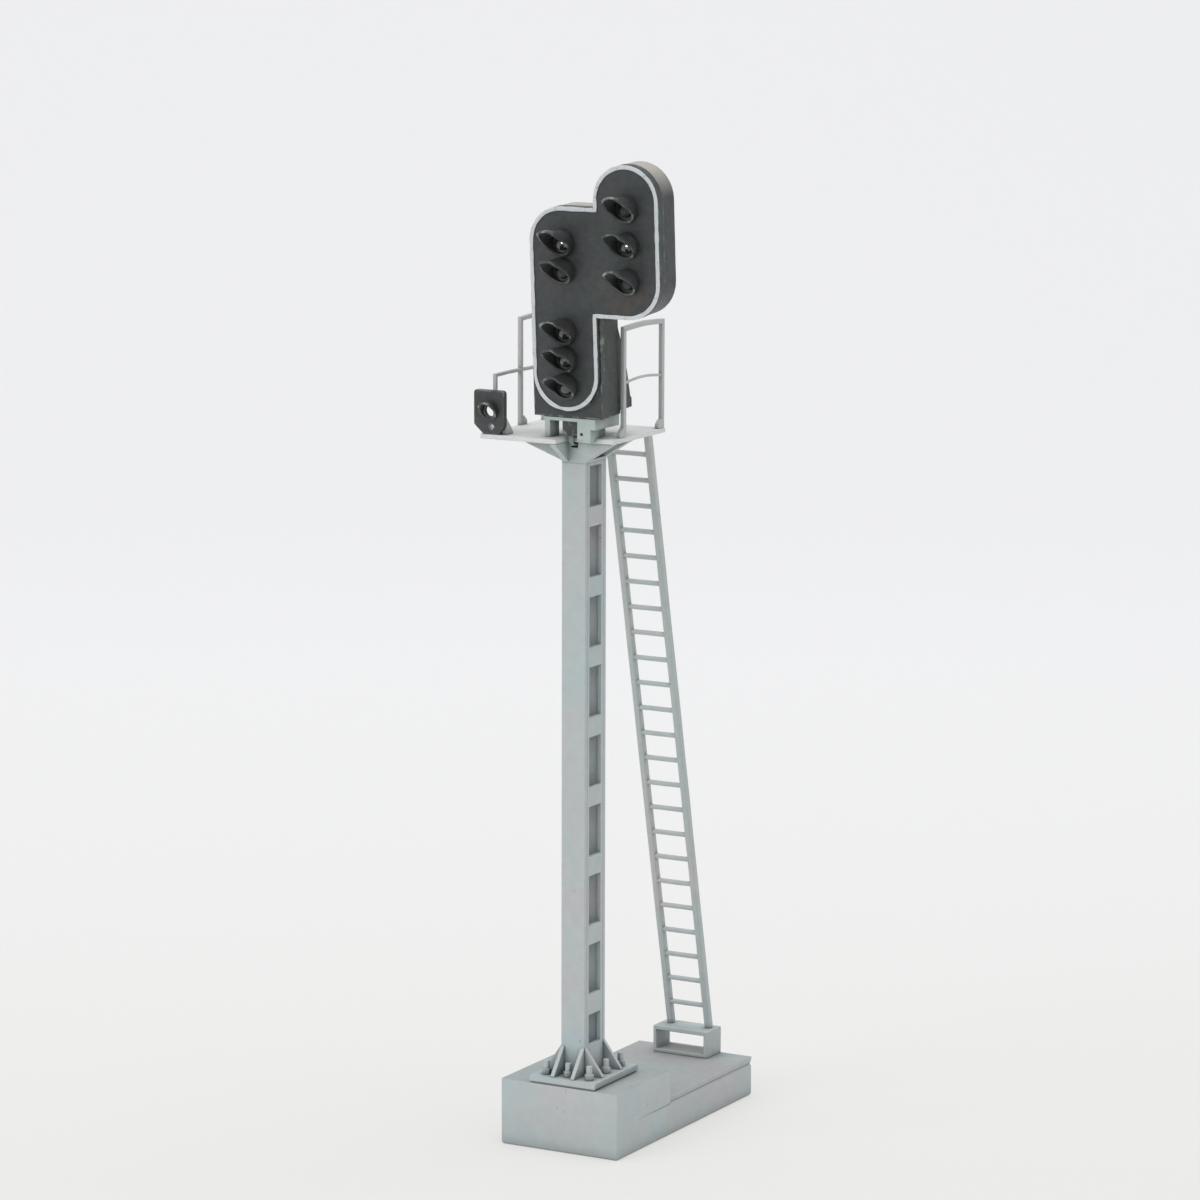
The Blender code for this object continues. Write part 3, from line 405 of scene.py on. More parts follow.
def grey_paint(name, cool, plain, warm, hollow, shift=0.0, reach=1.5, depth=0.035, top=1.0):
    """Matt grey paint, brushed on: soft patches of tint, painted shade in the corners, fine grain.

    top is painted shade: a factor that darkens the faces that look up.
    """
    tree = Tree(name)
    patches = tree.noise(0.11, 3.0, 0.5, shift)
    colour = tree.ramp(patches, (0.36, cool), (0.5, plain), (0.64, warm))
    mottle = tree.ramp(tree.noise(0.8, 5.0, 0.6, shift + 5), (0.3, 0.93), (0.7, 1.0))
    colour = tree.mix(1.0, colour, mottle, "MULTIPLY")
    grain = tree.ramp(tree.noise(4.5, 2.0, 0.5, shift + 9), (0.3, 0.965), (0.7, 1.0))
    colour = tree.mix(1.0, colour, grain, "MULTIPLY")
    specks = tree.ramp(tree.noise(1.3, 1.0, 0.4, shift + 21), (0.2, 0.0), (0.235, 1.0))
    colour = tree.mix(specks, tuple(value * 0.72 for value in plain), colour)
    # Painted shade: the hollow colour is laid into corners and recesses, where shade falls
    colour = tree.mix(tree.painted_shade_mask(reach, 0.25, 0.95), hollow, colour)
    # Painted shade: faces that look up are darkened by the factor top
    if top != 1.0:
        shade = tree.ramp(tree.facing_up(), (0.5, 1.0), (0.95, top))
        colour = tree.mix(1.0, colour, shade, "MULTIPLY")
    rough = tree.span(tree.noise(1.3, 3.0, 0.5, shift + 2), 0.56, 0.82)
    brushed = tree.bump(tree.noise(0.9, 2.0, 0.5, shift + 3, (1.0, 1.0, 0.35)), depth)
    grainy = tree.bump(tree.noise(6.0, 3.0, 0.6, shift), 0.012, brushed)
    return tree.finish(colour, rough, grainy, 0.3)


def black_paint(name, shift=0.0, wear_and_highlight="edges", depth=0.06, pale_top=0.0, pale_spots=()):
    """Satin black paint with green and brown casts, and painted shade in its corners.

    Its wear and painted highlight follow the mesh's edges, or a point attribute on the mesh whose name
    wear_and_highlight gives.
    pale_top over 0 makes faces that look up paler and beige. pale_spots holds the centre and radius of each
    pale round spot.
    """
    tree = Tree(name)
    patches = tree.noise(0.2, 3.0, 0.55, shift)
    colour = tree.ramp(patches, (0.3, (0.029, 0.037, 0.027)), (0.43, (0.033, 0.039, 0.039)),
                       (0.56, (0.035, 0.037, 0.042)), (0.7, (0.045, 0.041, 0.034)))
    mottle = tree.ramp(tree.noise(1.1, 5.0, 0.6, shift + 4), (0.3, 0.72), (0.7, 1.12))
    colour = tree.mix(1.0, colour, mottle, "MULTIPLY")
    dust = tree.ramp(tree.noise(2.4, 4.0, 0.7, shift + 8), (0.6, 0.0), (0.74, 0.35))
    colour = tree.mix(dust, colour, (0.08, 0.088, 0.086))
    # Painted shade: near black in corners and recesses, where shade falls
    colour = tree.mix(tree.painted_shade_mask(1.8, 0.2, 0.9), (0.012, 0.016, 0.014), colour)
    # Faces that look up turn paler and beige
    if pale_top:
        facing_up_share = tree.ramp(tree.facing_up(), (0.1, 0.0), (0.85, pale_top))
        colour = tree.mix(facing_up_share, colour, (0.34, 0.325, 0.29))
    # Wear and painted highlight: patchy light paint along outer edges, or on a hood's rim where its
    # attribute says
    if wear_and_highlight == "edges":
        worn_and_lit = tree.math("MULTIPLY", tree.edges(0.25, 0.74, 0.93), 0.7)
    else:
        worn_and_lit = tree.node("ShaderNodeAttribute", attribute_name=wear_and_highlight).outputs["Fac"]
    patchy = tree.ramp(tree.noise(0.8, 3.0, 0.6, shift + 13), (0.5, 0.05), (0.62, 1.0))
    colour = tree.mix(tree.math("MULTIPLY", worn_and_lit, patchy), colour, (0.2, 0.22, 0.19))
    # A pale round spot at each given place
    for centre, size in pale_spots:
        away = tree.node("ShaderNodeVectorMath", operation="DISTANCE")
        tree.feed(away.inputs[0], tree.place)
        away.inputs[1].default_value = centre
        spot = tree.ramp(tree.math("DIVIDE", away.outputs["Value"], size), (0.8, 1.0), (1.0, 0.0))
        colour = tree.mix(spot, colour, (0.75, 0.77, 0.76))
    rough = tree.span(tree.noise(0.9, 4.0, 0.6, shift + 2), 0.38, 0.66)
    brushed = tree.bump(tree.noise(0.8, 3.0, 0.55, shift + 6), depth)
    grainy = tree.bump(tree.noise(5.0, 3.0, 0.6, shift), 0.015, brushed)
    return tree.finish(colour, rough, grainy, 0.42)


def trim_paint(name):
    """A thick line of light grey paint: streaky along its length, thin in places."""
    tree = Tree(name)
    colour = tree.ramp(tree.noise(0.3, 2.0), (0.35, (0.44, 0.475, 0.5)), (0.55, (0.475, 0.5, 0.495)),
                       (0.7, (0.485, 0.48, 0.51)))
    thin = tree.ramp(tree.noise(2.2, 4.0, 0.6, 3.0), (0.28, 0.62), (0.45, 1.0))
    colour = tree.mix(1.0, colour, thin, "MULTIPLY")
    rough = tree.span(tree.noise(2.0), 0.4, 0.62)
    return tree.finish(colour, rough, tree.bump(tree.noise(2.5, 4.0), 0.03), 0.4)


def lens_resin(name, gloss=(0.02, 0.05), coat=0.8):
    """Clear resin over an unlit lamp: near black, its gloss a little uneven."""
    tree = Tree(name)
    colour = tree.ramp(tree.noise(1.5, 3.0), (0.35, (0.005, 0.006, 0.006)), (0.7, (0.011, 0.012, 0.011)))
    rough = tree.ramp(tree.noise(3.0, 4.0, 0.6, 2.0), (0.4, gloss[0]), (0.75, gloss[1]))
    material = tree.finish(colour, rough, tree.bump(tree.noise(1.2, 1.0), 0.004), 0.5)
    tree.shader.inputs["Coat Weight"].default_value = coat
    tree.shader.inputs["Coat Roughness"].default_value = 0.02
    return material


def board_laminate(name):
    """Green circuit board with a woven glass grain."""
    tree = Tree(name)
    weave = tree.node("ShaderNodeTexWave", bands_direction="Z")
    tree.feed(weave.inputs["Vector"], tree.place)
    weave.inputs["Scale"].default_value = 1.2
    colour = tree.mix(weave.outputs["Fac"], (0.02, 0.11, 0.05), (0.035, 0.17, 0.08))
    rough = tree.span(tree.noise(2.0), 0.25, 0.4)
    return tree.finish(colour, rough, tree.bump(tree.noise(4.0), 0.01), 0.5)


def wire_insulation(name):
    """Dark varnish on thin wires; grey paint covers them below the duct, where they leave it."""
    tree = Tree(name)
    colour = tree.ramp(tree.noise(0.8, 4.0), (0.35, (0.016, 0.02, 0.018)), (0.7, (0.05, 0.052, 0.045)))
    height = tree.node("ShaderNodeSeparateXYZ")
    tree.feed(height.inputs[0], tree.place)
    wavy = tree.math("ADD", height.outputs["Z"], tree.span(tree.noise(1.5), -0.6, 0.6))
    covered = tree.node("ShaderNodeMapRange")
    tree.feed(covered.inputs["Value"], wavy)
    covered.inputs["From Min"].default_value = DUCT_END
    covered.inputs["From Max"].default_value = DUCT_END - 0.7
    colour = tree.mix(covered.outputs[0], colour, (0.2, 0.24, 0.23))
    rough = tree.span(tree.noise(2.0), 0.35, 0.6)
    return tree.finish(colour, rough, tree.bump(tree.noise(5.0), 0.01), 0.4)


COOL, PLAIN, WARM = (0.36, 0.412, 0.425), (0.378, 0.412, 0.404), (0.395, 0.395, 0.412)
# The fourth colour of each grey paint is its painted shade, laid into corners and hollows
PAINTED_SHADE = (0.135, 0.16, 0.152)
MAST = grey_paint("mast_paint", COOL, PLAIN, WARM, PAINTED_SHADE)
# The deck's grey is lighter than the others: its extra lightness is painted sheen on the deck's top, seen
# at a low angle
DECK = grey_paint("platform_paint_with_painted_sheen", (0.52, 0.55, 0.55), (0.54, 0.56, 0.55), (0.56, 0.555, 0.56),
                  (0.26, 0.3, 0.29), 31.0)
SUPPORT = grey_paint("support_paint", (0.34, 0.405, 0.39), (0.36, 0.41, 0.39), (0.39, 0.41, 0.4),
                     (0.13, 0.165, 0.155), 12.0, 1.2)
FOOT = grey_paint("foot_paint", COOL, (0.37, 0.41, 0.41), WARM, (0.075, 0.09, 0.088), 47.0, 1.3, 0.06)
# The foundation's faces that look up are darkened, as painted shade (top 0.8)
GROUND = grey_paint("foundation_paint", (0.35, 0.4, 0.42), (0.372, 0.405, 0.395), (0.39, 0.39, 0.4),
                    (0.25, 0.275, 0.265), 64.0, 1.8, 0.05, 0.8)
LADDER = grey_paint("ladder_paint", (0.36, 0.4, 0.405), (0.37, 0.4, 0.385), (0.41, 0.4, 0.4), PAINTED_SHADE,
                    83.0, 0.8, 0.03)
RAIL = grey_paint("rail_paint", (0.37, 0.4, 0.4), (0.385, 0.4, 0.385), (0.42, 0.405, 0.415), PAINTED_SHADE,
                  101.0, 0.8, 0.04)
BLACK = black_paint("head_paint")
SIGN_BLACK = black_paint("marker_paint", 71.0, pale_spots=[(PEG_PLACE, 0.4)])
HOUSING = black_paint("housing_paint", 57.0, pale_top=0.85)
# Hood rims carry wear and painted highlight, from the mesh's attribute
HOOD_BLACK = black_paint("hood_paint", 23.0, "wear_and_highlight", 0.05)
TRIM = trim_paint("trim_line")
LENS = lens_resin("lens_gloss")
DULL_LENS = lens_resin("lens_dull", (0.4, 0.6), 0.0)
BOARD = board_laminate("board_green")
WIRES = wire_insulation("wire_varnish")


# ------------------------------------------------------------------ foundation and mast
def smooth_step(value):
    value = min(1.0, max(0.0, value))
    return value * value * (3 - 2 * value)


def bore(piece, places, radius, span):
    """Cuts round upright holes, closes any sliver the cut leaves, and keeps the result."""
    bm = bmesh.new()
    for x, y in places:
        middle = Matrix.Translation(Vector((x, y, sum(span) / 2)) * MM)
        bmesh.ops.create_cone(bm, cap_ends=True, segments=HOLE_SIDES, radius1=radius * MM,
                              radius2=radius * MM, depth=(span[1] - span[0]) * MM, matrix=middle)
    cutter = new_object("hole_cutter", bm, GROUND)
    modifier = piece.modifiers.new("holes", "BOOLEAN")
    modifier.operation = "DIFFERENCE"
    modifier.solver = "EXACT"
    modifier.object = cutter
    depsgraph = bpy.context.evaluated_depsgraph_get()
    mesh = bpy.data.meshes.new_from_object(piece.evaluated_get(depsgraph))
    piece.modifiers.clear()
    bm = bmesh.new()
    bm.from_mesh(mesh)
    bmesh.ops.holes_fill(bm, edges=[edge for edge in bm.edges if edge.is_boundary], sides=0)
    bmesh.ops.recalc_face_normals(bm, faces=bm.faces)
    bm.to_mesh(mesh)
    bm.free()
    piece.data = mesh
    mesh.shade_smooth()
    mesh.set_sharp_from_angle(angle=math.radians(SMOOTH_ANGLE))
    bpy.data.objects.remove(cutter, do_unlink=True)


def block_outline(xs, ys, rear_corner, inset):
    """A foundation block's outline in plan, with its own corner radius at the rear."""
    left, right, low, high = xs[0] + inset, xs[1] - inset, ys[0] + inset, ys[1] - inset
    radius = BASE_CORNER
    points = arc((left + radius, low + radius), radius, 180, 270, CORNER_STEPS)
    points += arc((right - radius, low + radius), radius, 270, 360, CORNER_STEPS)
    points += arc((right - rear_corner, high - rear_corner), rear_corner, 0, 90, CORNER_STEPS)
    points += arc((left + rear_corner, high - rear_corner), rear_corner, 90, 180, CORNER_STEPS)
    return dense_outline(points, BLOCK_PITCH)


def build_foundation():
    # The slab's upper edge draws in along the sides, so the joint there deepens towards the rear
    top = SLAB_TOP + SLAB_GROWTH
    levels = [(z, inset, 0) for z, inset in SLAB_EDGE]
    levels += [(top - GROOVE_HEIGHT, 0.0, 0), (top, 0.0, 1)]
    rings = []
    for z, inset, groove in levels:
        ring = []
        for x, y in block_outline(BASE_X, BASE_Y, BASE_CORNER, inset):
            draw = groove * GROOVE_DEPTH * smooth_step((y - GROOVE_START) / GROOVE_RUN)
            side = 1 if x > 0 else -1
            near_side = abs(x - BASE_X[x > 0]) < BASE_CORNER
            ring.append((x - side * draw * near_side, y, z))
        rings.append(ring)
    bm = bmesh.new()
    loft(bm, rings)
    slab = new_object("foundation_slab_look", bm, GROUND)
    bore(slab, [WIRE_PLACE], WIRE_HOLE, (-CUTTER_EXCESS, SLAB_TOP + CUTTER_EXCESS))
    attach(slab, "foundation_slab")

    front = (BASE_Y[0], PLINTH_REAR)
    levels = [(SLAB_TOP + GAP, 0.0)] + [(PLINTH_TOP - depth, inset) for depth, inset in PLINTH_EDGE]
    bm = bmesh.new()
    loft(bm, [[(x, y, z) for x, y in block_outline(BASE_X, front, SQUARE_CORNER, inset)]
              for z, inset in levels])
    plinth = new_object("mast_plinth_look", bm, GROUND)
    bore(plinth, [WIRE_PLACE], WIRE_HOLE, (SLAB_TOP - CUTTER_EXCESS, PLINTH_TOP + CUTTER_EXCESS))
    bore(plinth, STUD_PLACES, STUD_HOLE, (STUD_BOTTOM, PLINTH_TOP + CUTTER_EXCESS))
    attach(plinth, "mast_plinth")

    refine("ladder_plinth", GROUND, 0.08)
    refine("levelling_plate", FOOT, 0.04)
    refine("mast_foot", FOOT, 0.07)
    for number in range(1, len(STUD_PLACES) + 1):
        refine(f"anchor_stud_{number}", FOOT, 0.1)


def build_mast():
    for node in ("mast_front_plate", "mast_rear_plate", "mast_side_plate_right", "mast_side_plate_left"):
        refine(node, MAST, 0.06, joint=MAST_TOP)
    refine("mast_head_bracket", MAST, 0.04)


def build_platform():
    refine("platform_deck", DECK, 0.1)
    refine("head_support", SUPPORT, 0.05, merge=False)
    refine("cable_duct", BLACK, 0.05, merge=False)
    refine("marker_bracket", DECK, 0.05)
    refine("marker_plate", SIGN_BLACK, 0.09)


# ------------------------------------------------------------------ signal head
def build_panel():
    refine("head_housing", HOUSING, 0.16, 3)
    refine("rear_cover", HOUSING, 0.12)
    refine("target_panel", BLACK, 0.05)
    attach(new_object("lamp_board_look", node_mesh("lamp_board", merge=False), BOARD), "lamp_board")


def build_trim():
    """The painted border: a low, rounded ribbon whose width wanders a little."""
    outline = dense_outline(target_outline(TRIM_HALF + TRIM_MARGIN))
    path = [(x, -GAP - TRIM_SEAT, z) for x, z in outline]

    def width(index):
        x, z = outline[index]
        low = TRIM_LOW_WANDER if z < TRIM_LOW else 1.0
        return 1.0 + TRIM_WANDER * low * noise.noise(Vector((x * 0.9, z * 0.9, 3.0)))

    bm = bmesh.new()
    rings = []
    count = len(path)
    for index, point in enumerate(path):
        before, after = Vector(path[index - 1]), Vector(path[(index + 1) % count])
        along = (after - before).normalized()
        across = along.cross(Vector((0.0, 1.0, 0.0)))
        rings.append([Vector(point) + across * (u * width(index)) + Vector((0.0, v, 0.0))
                      for u, v in section(TRIM_HALF, TRIM_THICK, TRIM_SEAT)])
    loft(bm, rings, closed=True)
    to_head(bm)
    attach(new_object("target_trim_look", bm, TRIM, 60.0), "target_trim")


def hood_rings(radius, wall, length, hollow, sides, rows):
    """Rings along a visor, out along its outside and back along its inside.

    Its sides are cut back on a curve, from the full length at the brow to a short foot; the more
    hollow the curve, the shorter the sides.
    """
    foot = HOOD_FOOT * length

    def reach(height):
        share = min(1.0, (height + radius) / (HOOD_BROW * radius))
        return foot + (length - foot) * share ** hollow

    def ring(distance, size, lip=0.0):
        points = []
        for side in range(sides):
            angle = 2 * math.pi * side / sides
            x, z = size * math.cos(angle), size * math.sin(angle)
            end = reach(radius * math.sin(angle))
            end -= min(lip, end / rows / 2)     # on the short foot, the lip stays past the last ring
            points.append((x, -GAP - end * distance, z))
        return points

    outside = [ring(row / rows, radius) for row in range(rows)]
    rim = [ring(1.0, radius - inset, lip) for inset, lip in HOOD_RIM]
    rim.append(ring(1.0, radius - wall / 2))
    rim += [ring(1.0, radius - wall + inset, lip) for inset, lip in reversed(HOOD_RIM)]
    inside = [ring(row / rows, radius - wall) for row in reversed(range(rows))]
    return outside + rim + inside


def mark_wear_and_highlight(piece, sides, rows):
    """Gives a hood's rim wear and painted highlight, most on its brow and its lower right, where the light
    catches it, and the rings before it less.
    """
    mesh = piece.data
    wear_and_highlight = mesh.attributes.new("wear_and_highlight", "FLOAT", "POINT")
    for index in range(len(mesh.vertices)):
        row, side = divmod(index, sides)
        turn = side / sides             # 0 at the right, 0.25 at the brow
        if 0.17 < turn < 0.42:
            amount = 1.0
        elif turn > 0.8 or turn < 0.03:
            amount = 0.8
        else:
            amount = 0.12
        if rows <= row < rows + RIM_ROWS:
            wear_and_highlight.data[index].value = amount
        elif rows - 2 <= row < rows:
            wear_and_highlight.data[index].value = 0.6 * amount


def build_hood(label, number, place, tilt, turn, length):
    bm = bmesh.new()
    loft(bm, hood_rings(HOOD_RADIUS, HOOD_WALL, length, HOOD_HOLLOW, HOOD_SIDES, HOOD_ROWS), closed=True)
    bend = Matrix.Rotation(math.radians(turn), 4, "Z") @ Matrix.Rotation(math.radians(-tilt), 4, "X")
    for vert in bm.verts:
        # Only the free end bends away; the ring on the panel stays put
        share = smooth_step(-vert.co.y / MM / length)
        vert.co = vert.co.lerp(bend @ vert.co, share)
    for vert in bm.verts:
        if vert.co.y < -HOOD_FIXED * MM:
            where = vert.co / MM / HOOD_WOBBLE_PITCH + Vector((number * 7.1, 0.0, 3.3))
            vert.co += noise.noise_vector(where) * HOOD_WOBBLE * MM
    to_head(bm, place)
    hood = new_object(f"lamp_hood_{label}_look", bm, HOOD_BLACK, 50.0)
    mark_wear_and_highlight(hood, HOOD_SIDES, HOOD_ROWS)
    attach(hood, f"lamp_hood_{label}")


def build_lens(label, place):
    """A domed front on a straight barrel, which tapers a little towards its tail."""
    profile = []
    for step in range(1, LENS_STEPS + 1):
        angle = math.pi / 2 * step / LENS_STEPS
        profile.append((LENS_RADIUS * math.sin(angle), -LENS_COLLAR - LENS_CROWN * math.cos(angle)))
    profile += [(LENS_RADIUS, LENS_BARREL), (LENS_RADIUS - LENS_TAPER, LENS_TAIL)]
    angles = [2 * math.pi * side / LENS_SIDES for side in range(LENS_SIDES)]
    bm = bmesh.new()
    loft(bm, [[(radius * math.cos(angle), depth, radius * math.sin(angle)) for angle in angles]
              for radius, depth in profile])
    to_head(bm, place)
    dull = label in DULL_LAMPS
    lens = new_object(f"lamp_lens_{label}_look", bm, DULL_LENS if dull else LENS, 50.0)
    attach(lens, f"lamp_lens_{label}")
    if not dull:
        LENSES.objects.link(lens)


def build_lamps():
    for number, (label, (x, z, tilt, turn, length)) in enumerate(LAMPS.items()):
        place = HEAD_MATRIX @ Matrix.Translation((x, 0.0, z))
        build_hood(label, number, place, tilt, turn, length)
        build_lens(label, place)


def build_marker_hood():
    bm = bmesh.new()
    radius, wall, length = SIGHT_HOOD
    loft(bm, hood_rings(radius, wall, length, HOOD_HOLLOW, HOOD_SIDES, HOOD_ROWS), closed=True)
    to_head(bm, Matrix.Translation(SIGHT_PLACE))
    roughen(bm, 0.03, 1.2, 2.0)
    hood = new_object("marker_hood_look", bm, HOOD_BLACK, 50.0)
    mark_wear_and_highlight(hood, HOOD_SIDES, HOOD_ROWS)
    attach(hood, "marker_hood")


# ------------------------------------------------------------------ rails, ladder and wires
def rail_bar(bm, x, path, half_along, half_x):
    """A bar bent in the plane across X, through places given along Y and Z."""
    points = [(x, y, z) for y, z in path]
    sweep(bm, points, section(half_x, half_along, RAIL_CORNER), (1.0, 0.0, 0.0))


def post_lug(bm, x, post, low, way):
    """The small gusset at the foot of a post."""
    start = post + way * (RAIL_Y_HALF - RAIL_OVERLAP)
    outline = [(start + way * out, low + up) for out, up in LUG_OUTLINE]
    middle = (start + way * LUG_MIDDLE[0], low + LUG_MIDDLE[1])
    rings = []
    for inset, side in LUG_LAYERS:
        rings.append([(x + side * RAIL_X_HALF, y + (middle[0] - y) * inset, z + (middle[1] - z) * inset)
                      for y, z in outline])
    loft(bm, rings)


def frame_path(posts, low, bow):
    """Up one post, along a slightly bowed top rail and down the other post."""
    front, rear = posts
    top = RAIL_TOP - RAIL_Y_HALF
    path = [(front, low), (front, top)]
    for step in range(1, RAIL_STEPS):
        share = step / RAIL_STEPS
        path.append((front + (rear - front) * share, top + bow * math.sin(math.pi * share)))
    return path + [(rear, top), (rear, low)]


def build_right_rail():
    low = DECK_TOP + GAP
    bm = bmesh.new()
    rail_bar(bm, RIGHT_RAIL_X, frame_path(RIGHT_POSTS_Y, low, RIGHT_BOW), RAIL_Y_HALF, RAIL_X_HALF)
    for post in RIGHT_POSTS_Y:
        post_lug(bm, RIGHT_RAIL_X, post, low, -1)
    roughen(bm, RAIL_WOBBLE, RAIL_WOBBLE_PITCH, 4.0)
    attach(new_object("guard_rail_right_look", bm, RAIL, 40.0), "guard_rail_right")


def build_left_rail():
    low = DECK_TOP + GAP
    bm = bmesh.new()
    rail_bar(bm, LEFT_RAIL_X, frame_path(LEFT_POSTS_Y, low, LEFT_BOW), RAIL_Y_HALF * LEFT_SLIM, RAIL_X_HALF)
    lower = LOWER_RAIL_TOP - LOWER_HALF
    path = [(SHORT_POST_Y, low), (SHORT_POST_Y, lower), (LOWER_BEND_Y, lower + LOWER_BEND_RISE),
            (LEFT_POSTS_Y[1], lower)]
    rail_bar(bm, LEFT_RAIL_X, path, LOWER_HALF, RAIL_X_HALF * LEFT_SLIM)
    for post in LEFT_POSTS_Y:
        post_lug(bm, LEFT_RAIL_X, post, low, 1)
    roughen(bm, RAIL_WOBBLE, RAIL_WOBBLE_PITCH, 9.0)
    attach(new_object("guard_rail_left_look", bm, RAIL, 40.0), "guard_rail_left")


def build_middle_rail():
    """A thin round rail that bows up between the right rail's posts and runs into both."""
    half = RAIL_Y_HALF - RAIL_OVERLAP
    front, rear = RIGHT_POSTS_Y[0] + half, RIGHT_POSTS_Y[1] - half
    path = []
    for step in range(MID_RAIL_STEPS + 1):
        share = step / MID_RAIL_STEPS
        path.append((RIGHT_RAIL_X, front + (rear - front) * share,
                     MID_RAIL_Z + MID_BOW * math.sin(math.pi * share) - MID_DROP))
    bm = bmesh.new()
    sweep(bm, path, round_section(MID_RAIL_RADIUS), (1.0, 0.0, 0.0))
    attach(new_object("mid_rail_right_look", bm, RAIL, 60.0), "mid_rail_right")


def build_ladder():
    run = LADDER_HEAD - LADDER_FOOT
    along = run.normalized()
    bm = bmesh.new()
    for way in (-1, 1):
        offset = Vector((way * STILE_PLACE, 0.0, 0.0))
        start = LADDER_FOOT + along * STILE_END + offset
        end = LADDER_HEAD - along * STILE_END + offset
        path = [start.lerp(end, step / STILE_STEPS) for step in range(STILE_STEPS + 1)]
        path = [point + Vector((STILE_WANDER * noise.noise(point * STILE_WANDER_PER_MM), 0.0, 0.0))
                for point in path]
        sweep(bm, path, section(STILE_HALF_X, STILE_HALF_Y, STILE_CORNER), (1.0, 0.0, 0.0))
        arm_x, arm_z = offset.x + LADDER_FOOT.x, DECK_UNDERSIDE - GAP - ARM_DROP
        sweep(bm, [(arm_x, DECK_REAR - ARM_REACH, arm_z), (arm_x, LADDER_HEAD.y, arm_z)],
              section(ARM_HALF_X, ARM_HALF_Z, ARM_CORNER), (1.0, 0.0, 0.0))
    for number in range(RUNG_COUNT):
        middle = LADDER_FOOT + along * (RUNG_FIRST + number * RUNG_PITCH)
        middle += Vector((0.0, -RUNG_FORWARD, 0.0))
        sag = RUNG_SAG * noise.noise(Vector((number * 3.7, 0.0, 0.0)))
        path = []
        for step in range(RUNG_STEPS + 1):
            across = STILE_PLACE * (2 * step / RUNG_STEPS - 1)
            path.append(middle + Vector((across, 0.0, sag * math.sin(math.pi * step / RUNG_STEPS))))
        sweep(bm, path, section(RUNG_RADIUS, RUNG_RADIUS, RUNG_RADIUS * 0.85), (0.0, 1.0, 0.0))
    attach(new_object("ladder_look", bm, LADDER, 60.0), "ladder")
    refine("ladder_foot_frame", LADDER, 0.08)


def build_wires():
    """Four thin wires, loosely twisted together."""
    bm = bmesh.new()
    dense = []
    for place, after in zip(WIRE_PATH, WIRE_PATH[1:]):
        dense.append(place)
        dense += straight(place, after, WIRE_PITCH)
    dense.append(WIRE_PATH[-1])
    for strand in range(WIRE_STRANDS):
        path = []
        for index, (x, y, z) in enumerate(dense):
            angle = 2 * math.pi * strand / WIRE_STRANDS + WIRE_TWIST * index * WIRE_PITCH
            path.append((x + WIRE_SPREAD * math.cos(angle), y + WIRE_SPREAD * math.sin(angle), z))
        sweep(bm, path, round_section(WIRE_STRAND_RADIUS, 2), (1.0, 0.0, 0.0))
    attach(new_object("wire_bundle_look", bm, WIRES, 70.0), "wire_bundle")


# ------------------------------------------------------------------ studio and camera
def make_camera():
    azimuth, elevation, roll = (math.radians(value) for value in
                                (CAMERA_AZIMUTH, CAMERA_ELEVATION, CAMERA_ROLL))
    back = Vector((math.sin(azimuth) * math.cos(elevation),
                   -math.cos(azimuth) * math.cos(elevation), math.sin(elevation)))
    right = Vector((math.cos(azimuth), math.sin(azimuth), 0.0))
    up = back.cross(right)
    right, up = (right * math.cos(roll) + up * math.sin(roll),
                 up * math.cos(roll) - right * math.sin(roll))
    data = bpy.data.cameras.new("camera")
    data.lens, data.sensor_width = CAMERA_LENS, CAMERA_SENSOR
    data.clip_start, data.clip_end = 0.01, 20.0
    camera = bpy.data.objects.new("camera", data)
    bpy.context.scene.collection.objects.link(camera)
    turn = Matrix((right, up, back)).transposed().to_4x4()
    camera.matrix_world = Matrix.Translation(CAMERA_PLACE) @ turn
    bpy.context.scene.camera = camera


def studio_paper():
    """Pale paper that keeps an even tone behind the model and takes a faint shadow.

    Part of the tone that the camera sees is given off by the paper itself.
    """
    material = bpy.data.materials.new("studio_paper")
    material.use_nodes = True
    nodes, links = material.node_tree.nodes, material.node_tree.links
    shader = nodes["Principled BSDF"]
    shader.inputs["Base Color"].default_value = (0.8, 0.8, 0.795, 1.0)
    shader.inputs["Roughness"].default_value = 0.9
    shader.inputs["Specular IOR Level"].default_value = 0.0
    place = nodes.new("ShaderNodeTexCoord")
    split = nodes.new("ShaderNodeSeparateXYZ")
    links.new(place.outputs["Window"], split.inputs[0])
    tone = nodes.new("ShaderNodeValToRGB")
    links.new(split.outputs["Y"], tone.inputs["Fac"])
    tone.color_ramp.elements[0].position = 0.02
    tone.color_ramp.elements[0].color = (0.72, 0.712, 0.69, 1.0)
    tone.color_ramp.elements[1].position = 0.45
    tone.color_ramp.elements[1].color = (0.815, 0.817, 0.832, 1.0)
    glow = nodes.new("ShaderNodeEmission")
    links.new(tone.outputs[0], glow.inputs["Color"])
    blend = nodes.new("ShaderNodeMixShader")
    rays = nodes.new("ShaderNodeLightPath")
    share = nodes.new("ShaderNodeMath")
    share.operation = "MULTIPLY"
    share.inputs[1].default_value = PAPER_GLOW
    links.new(rays.outputs["Is Camera Ray"], share.inputs[0])
    links.new(share.outputs[0], blend.inputs[0])
    links.new(shader.outputs[0], blend.inputs[1])
    links.new(glow.outputs[0], blend.inputs[2])
    links.new(blend.outputs[0], nodes["Material Output"].inputs["Surface"])
    return material


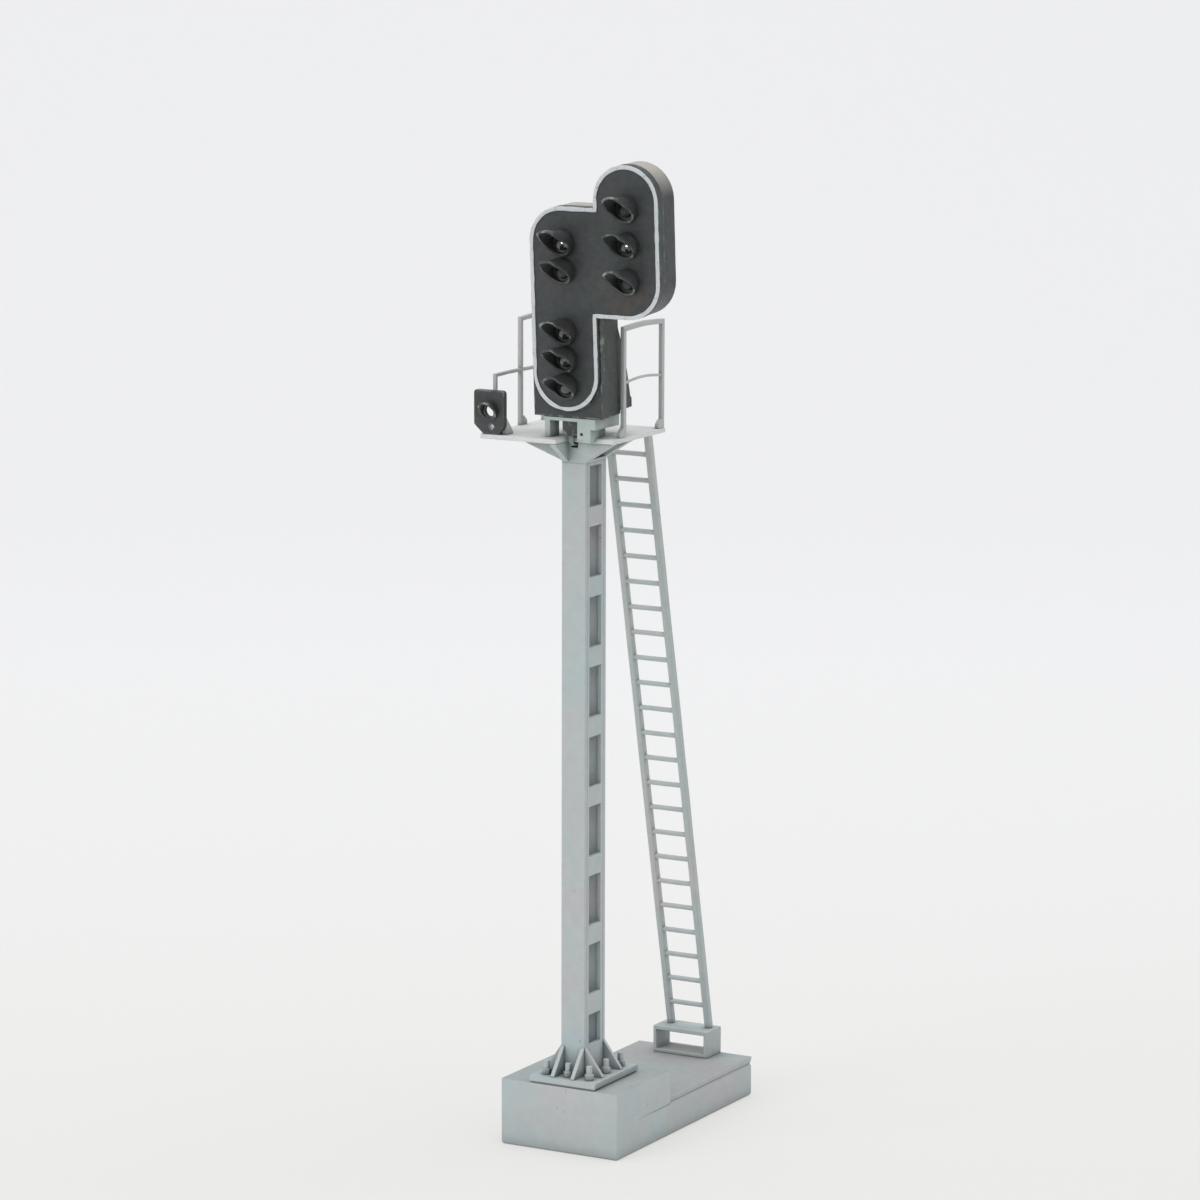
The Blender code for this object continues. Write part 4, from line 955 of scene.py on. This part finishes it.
def make_floor():
    """A floor that curves up into a backdrop behind the model, as seen from the camera."""
    reach, bend, width, height = 1.2, 0.5, 2.0, 2.0
    profile = [(-reach, 0.0), (bend, 0.0)]
    steps = 24
    for step in range(1, steps + 1):
        angle = math.pi / 2 * step / steps
        profile.append((bend + bend * math.sin(angle), bend - bend * math.cos(angle)))
    profile.append((2 * bend, height))
    bm = bmesh.new()
    rows = [[bm.verts.new((x, y, z)) for x in (-width, width)] for y, z in profile]
    for low, high in zip(rows, rows[1:]):
        bm.faces.new((low[0], low[1], high[1], high[0]))
    mesh = bpy.data.meshes.new("studio_floor")
    bm.to_mesh(mesh)
    bm.free()
    mesh.shade_smooth()
    mesh.materials.append(studio_paper())
    floor = bpy.data.objects.new("studio_floor", mesh)
    bpy.context.scene.collection.objects.link(floor)
    floor.rotation_euler.z = math.radians(CAMERA_AZIMUTH)


def area_light(name, place, aim, size, power):
    data = bpy.data.lights.new(name, "AREA")
    data.energy, data.size = power, size
    light = bpy.data.objects.new(name, data)
    bpy.context.scene.collection.objects.link(light)
    light.location = place
    light.rotation_euler = (Vector(aim) - Vector(place)).to_track_quat("-Z", "Y").to_euler()


def make_lights():
    world = bpy.data.worlds.new("studio")
    bpy.context.scene.world = world
    world.use_nodes = True
    background = world.node_tree.nodes["Background"]
    background.inputs["Color"].default_value = (0.975, 0.99, 1.0, 1.0)
    background.inputs["Strength"].default_value = 0.88
    area_light("key", (-0.45, -0.75, 0.7), (0.0, 0.0, 0.06), 0.6, 3.8)
    area_light("top", (0.1, 0.05, 0.9), (0.0, 0.0, 0.0), 0.7, 4.2)

    # A small light that falls only on the glossy lenses, for their bright points
    spark = bpy.data.lights.new("spark", "POINT")
    spark.energy, spark.shadow_soft_size = 14.0, 0.11
    light = bpy.data.objects.new("spark", spark)
    bpy.context.scene.collection.objects.link(light)
    light.location = (0.01, -0.5, 0.025)
    light.light_linking.receiver_collection = LENSES


build_foundation()
build_mast()
build_platform()
build_panel()
build_trim()
build_lamps()
build_marker_hood()
build_right_rail()
build_left_rail()
build_middle_rail()
build_ladder()
build_wires()
make_camera()
make_floor()
make_lights()
bpy.context.scene.view_settings.view_transform = "Standard"
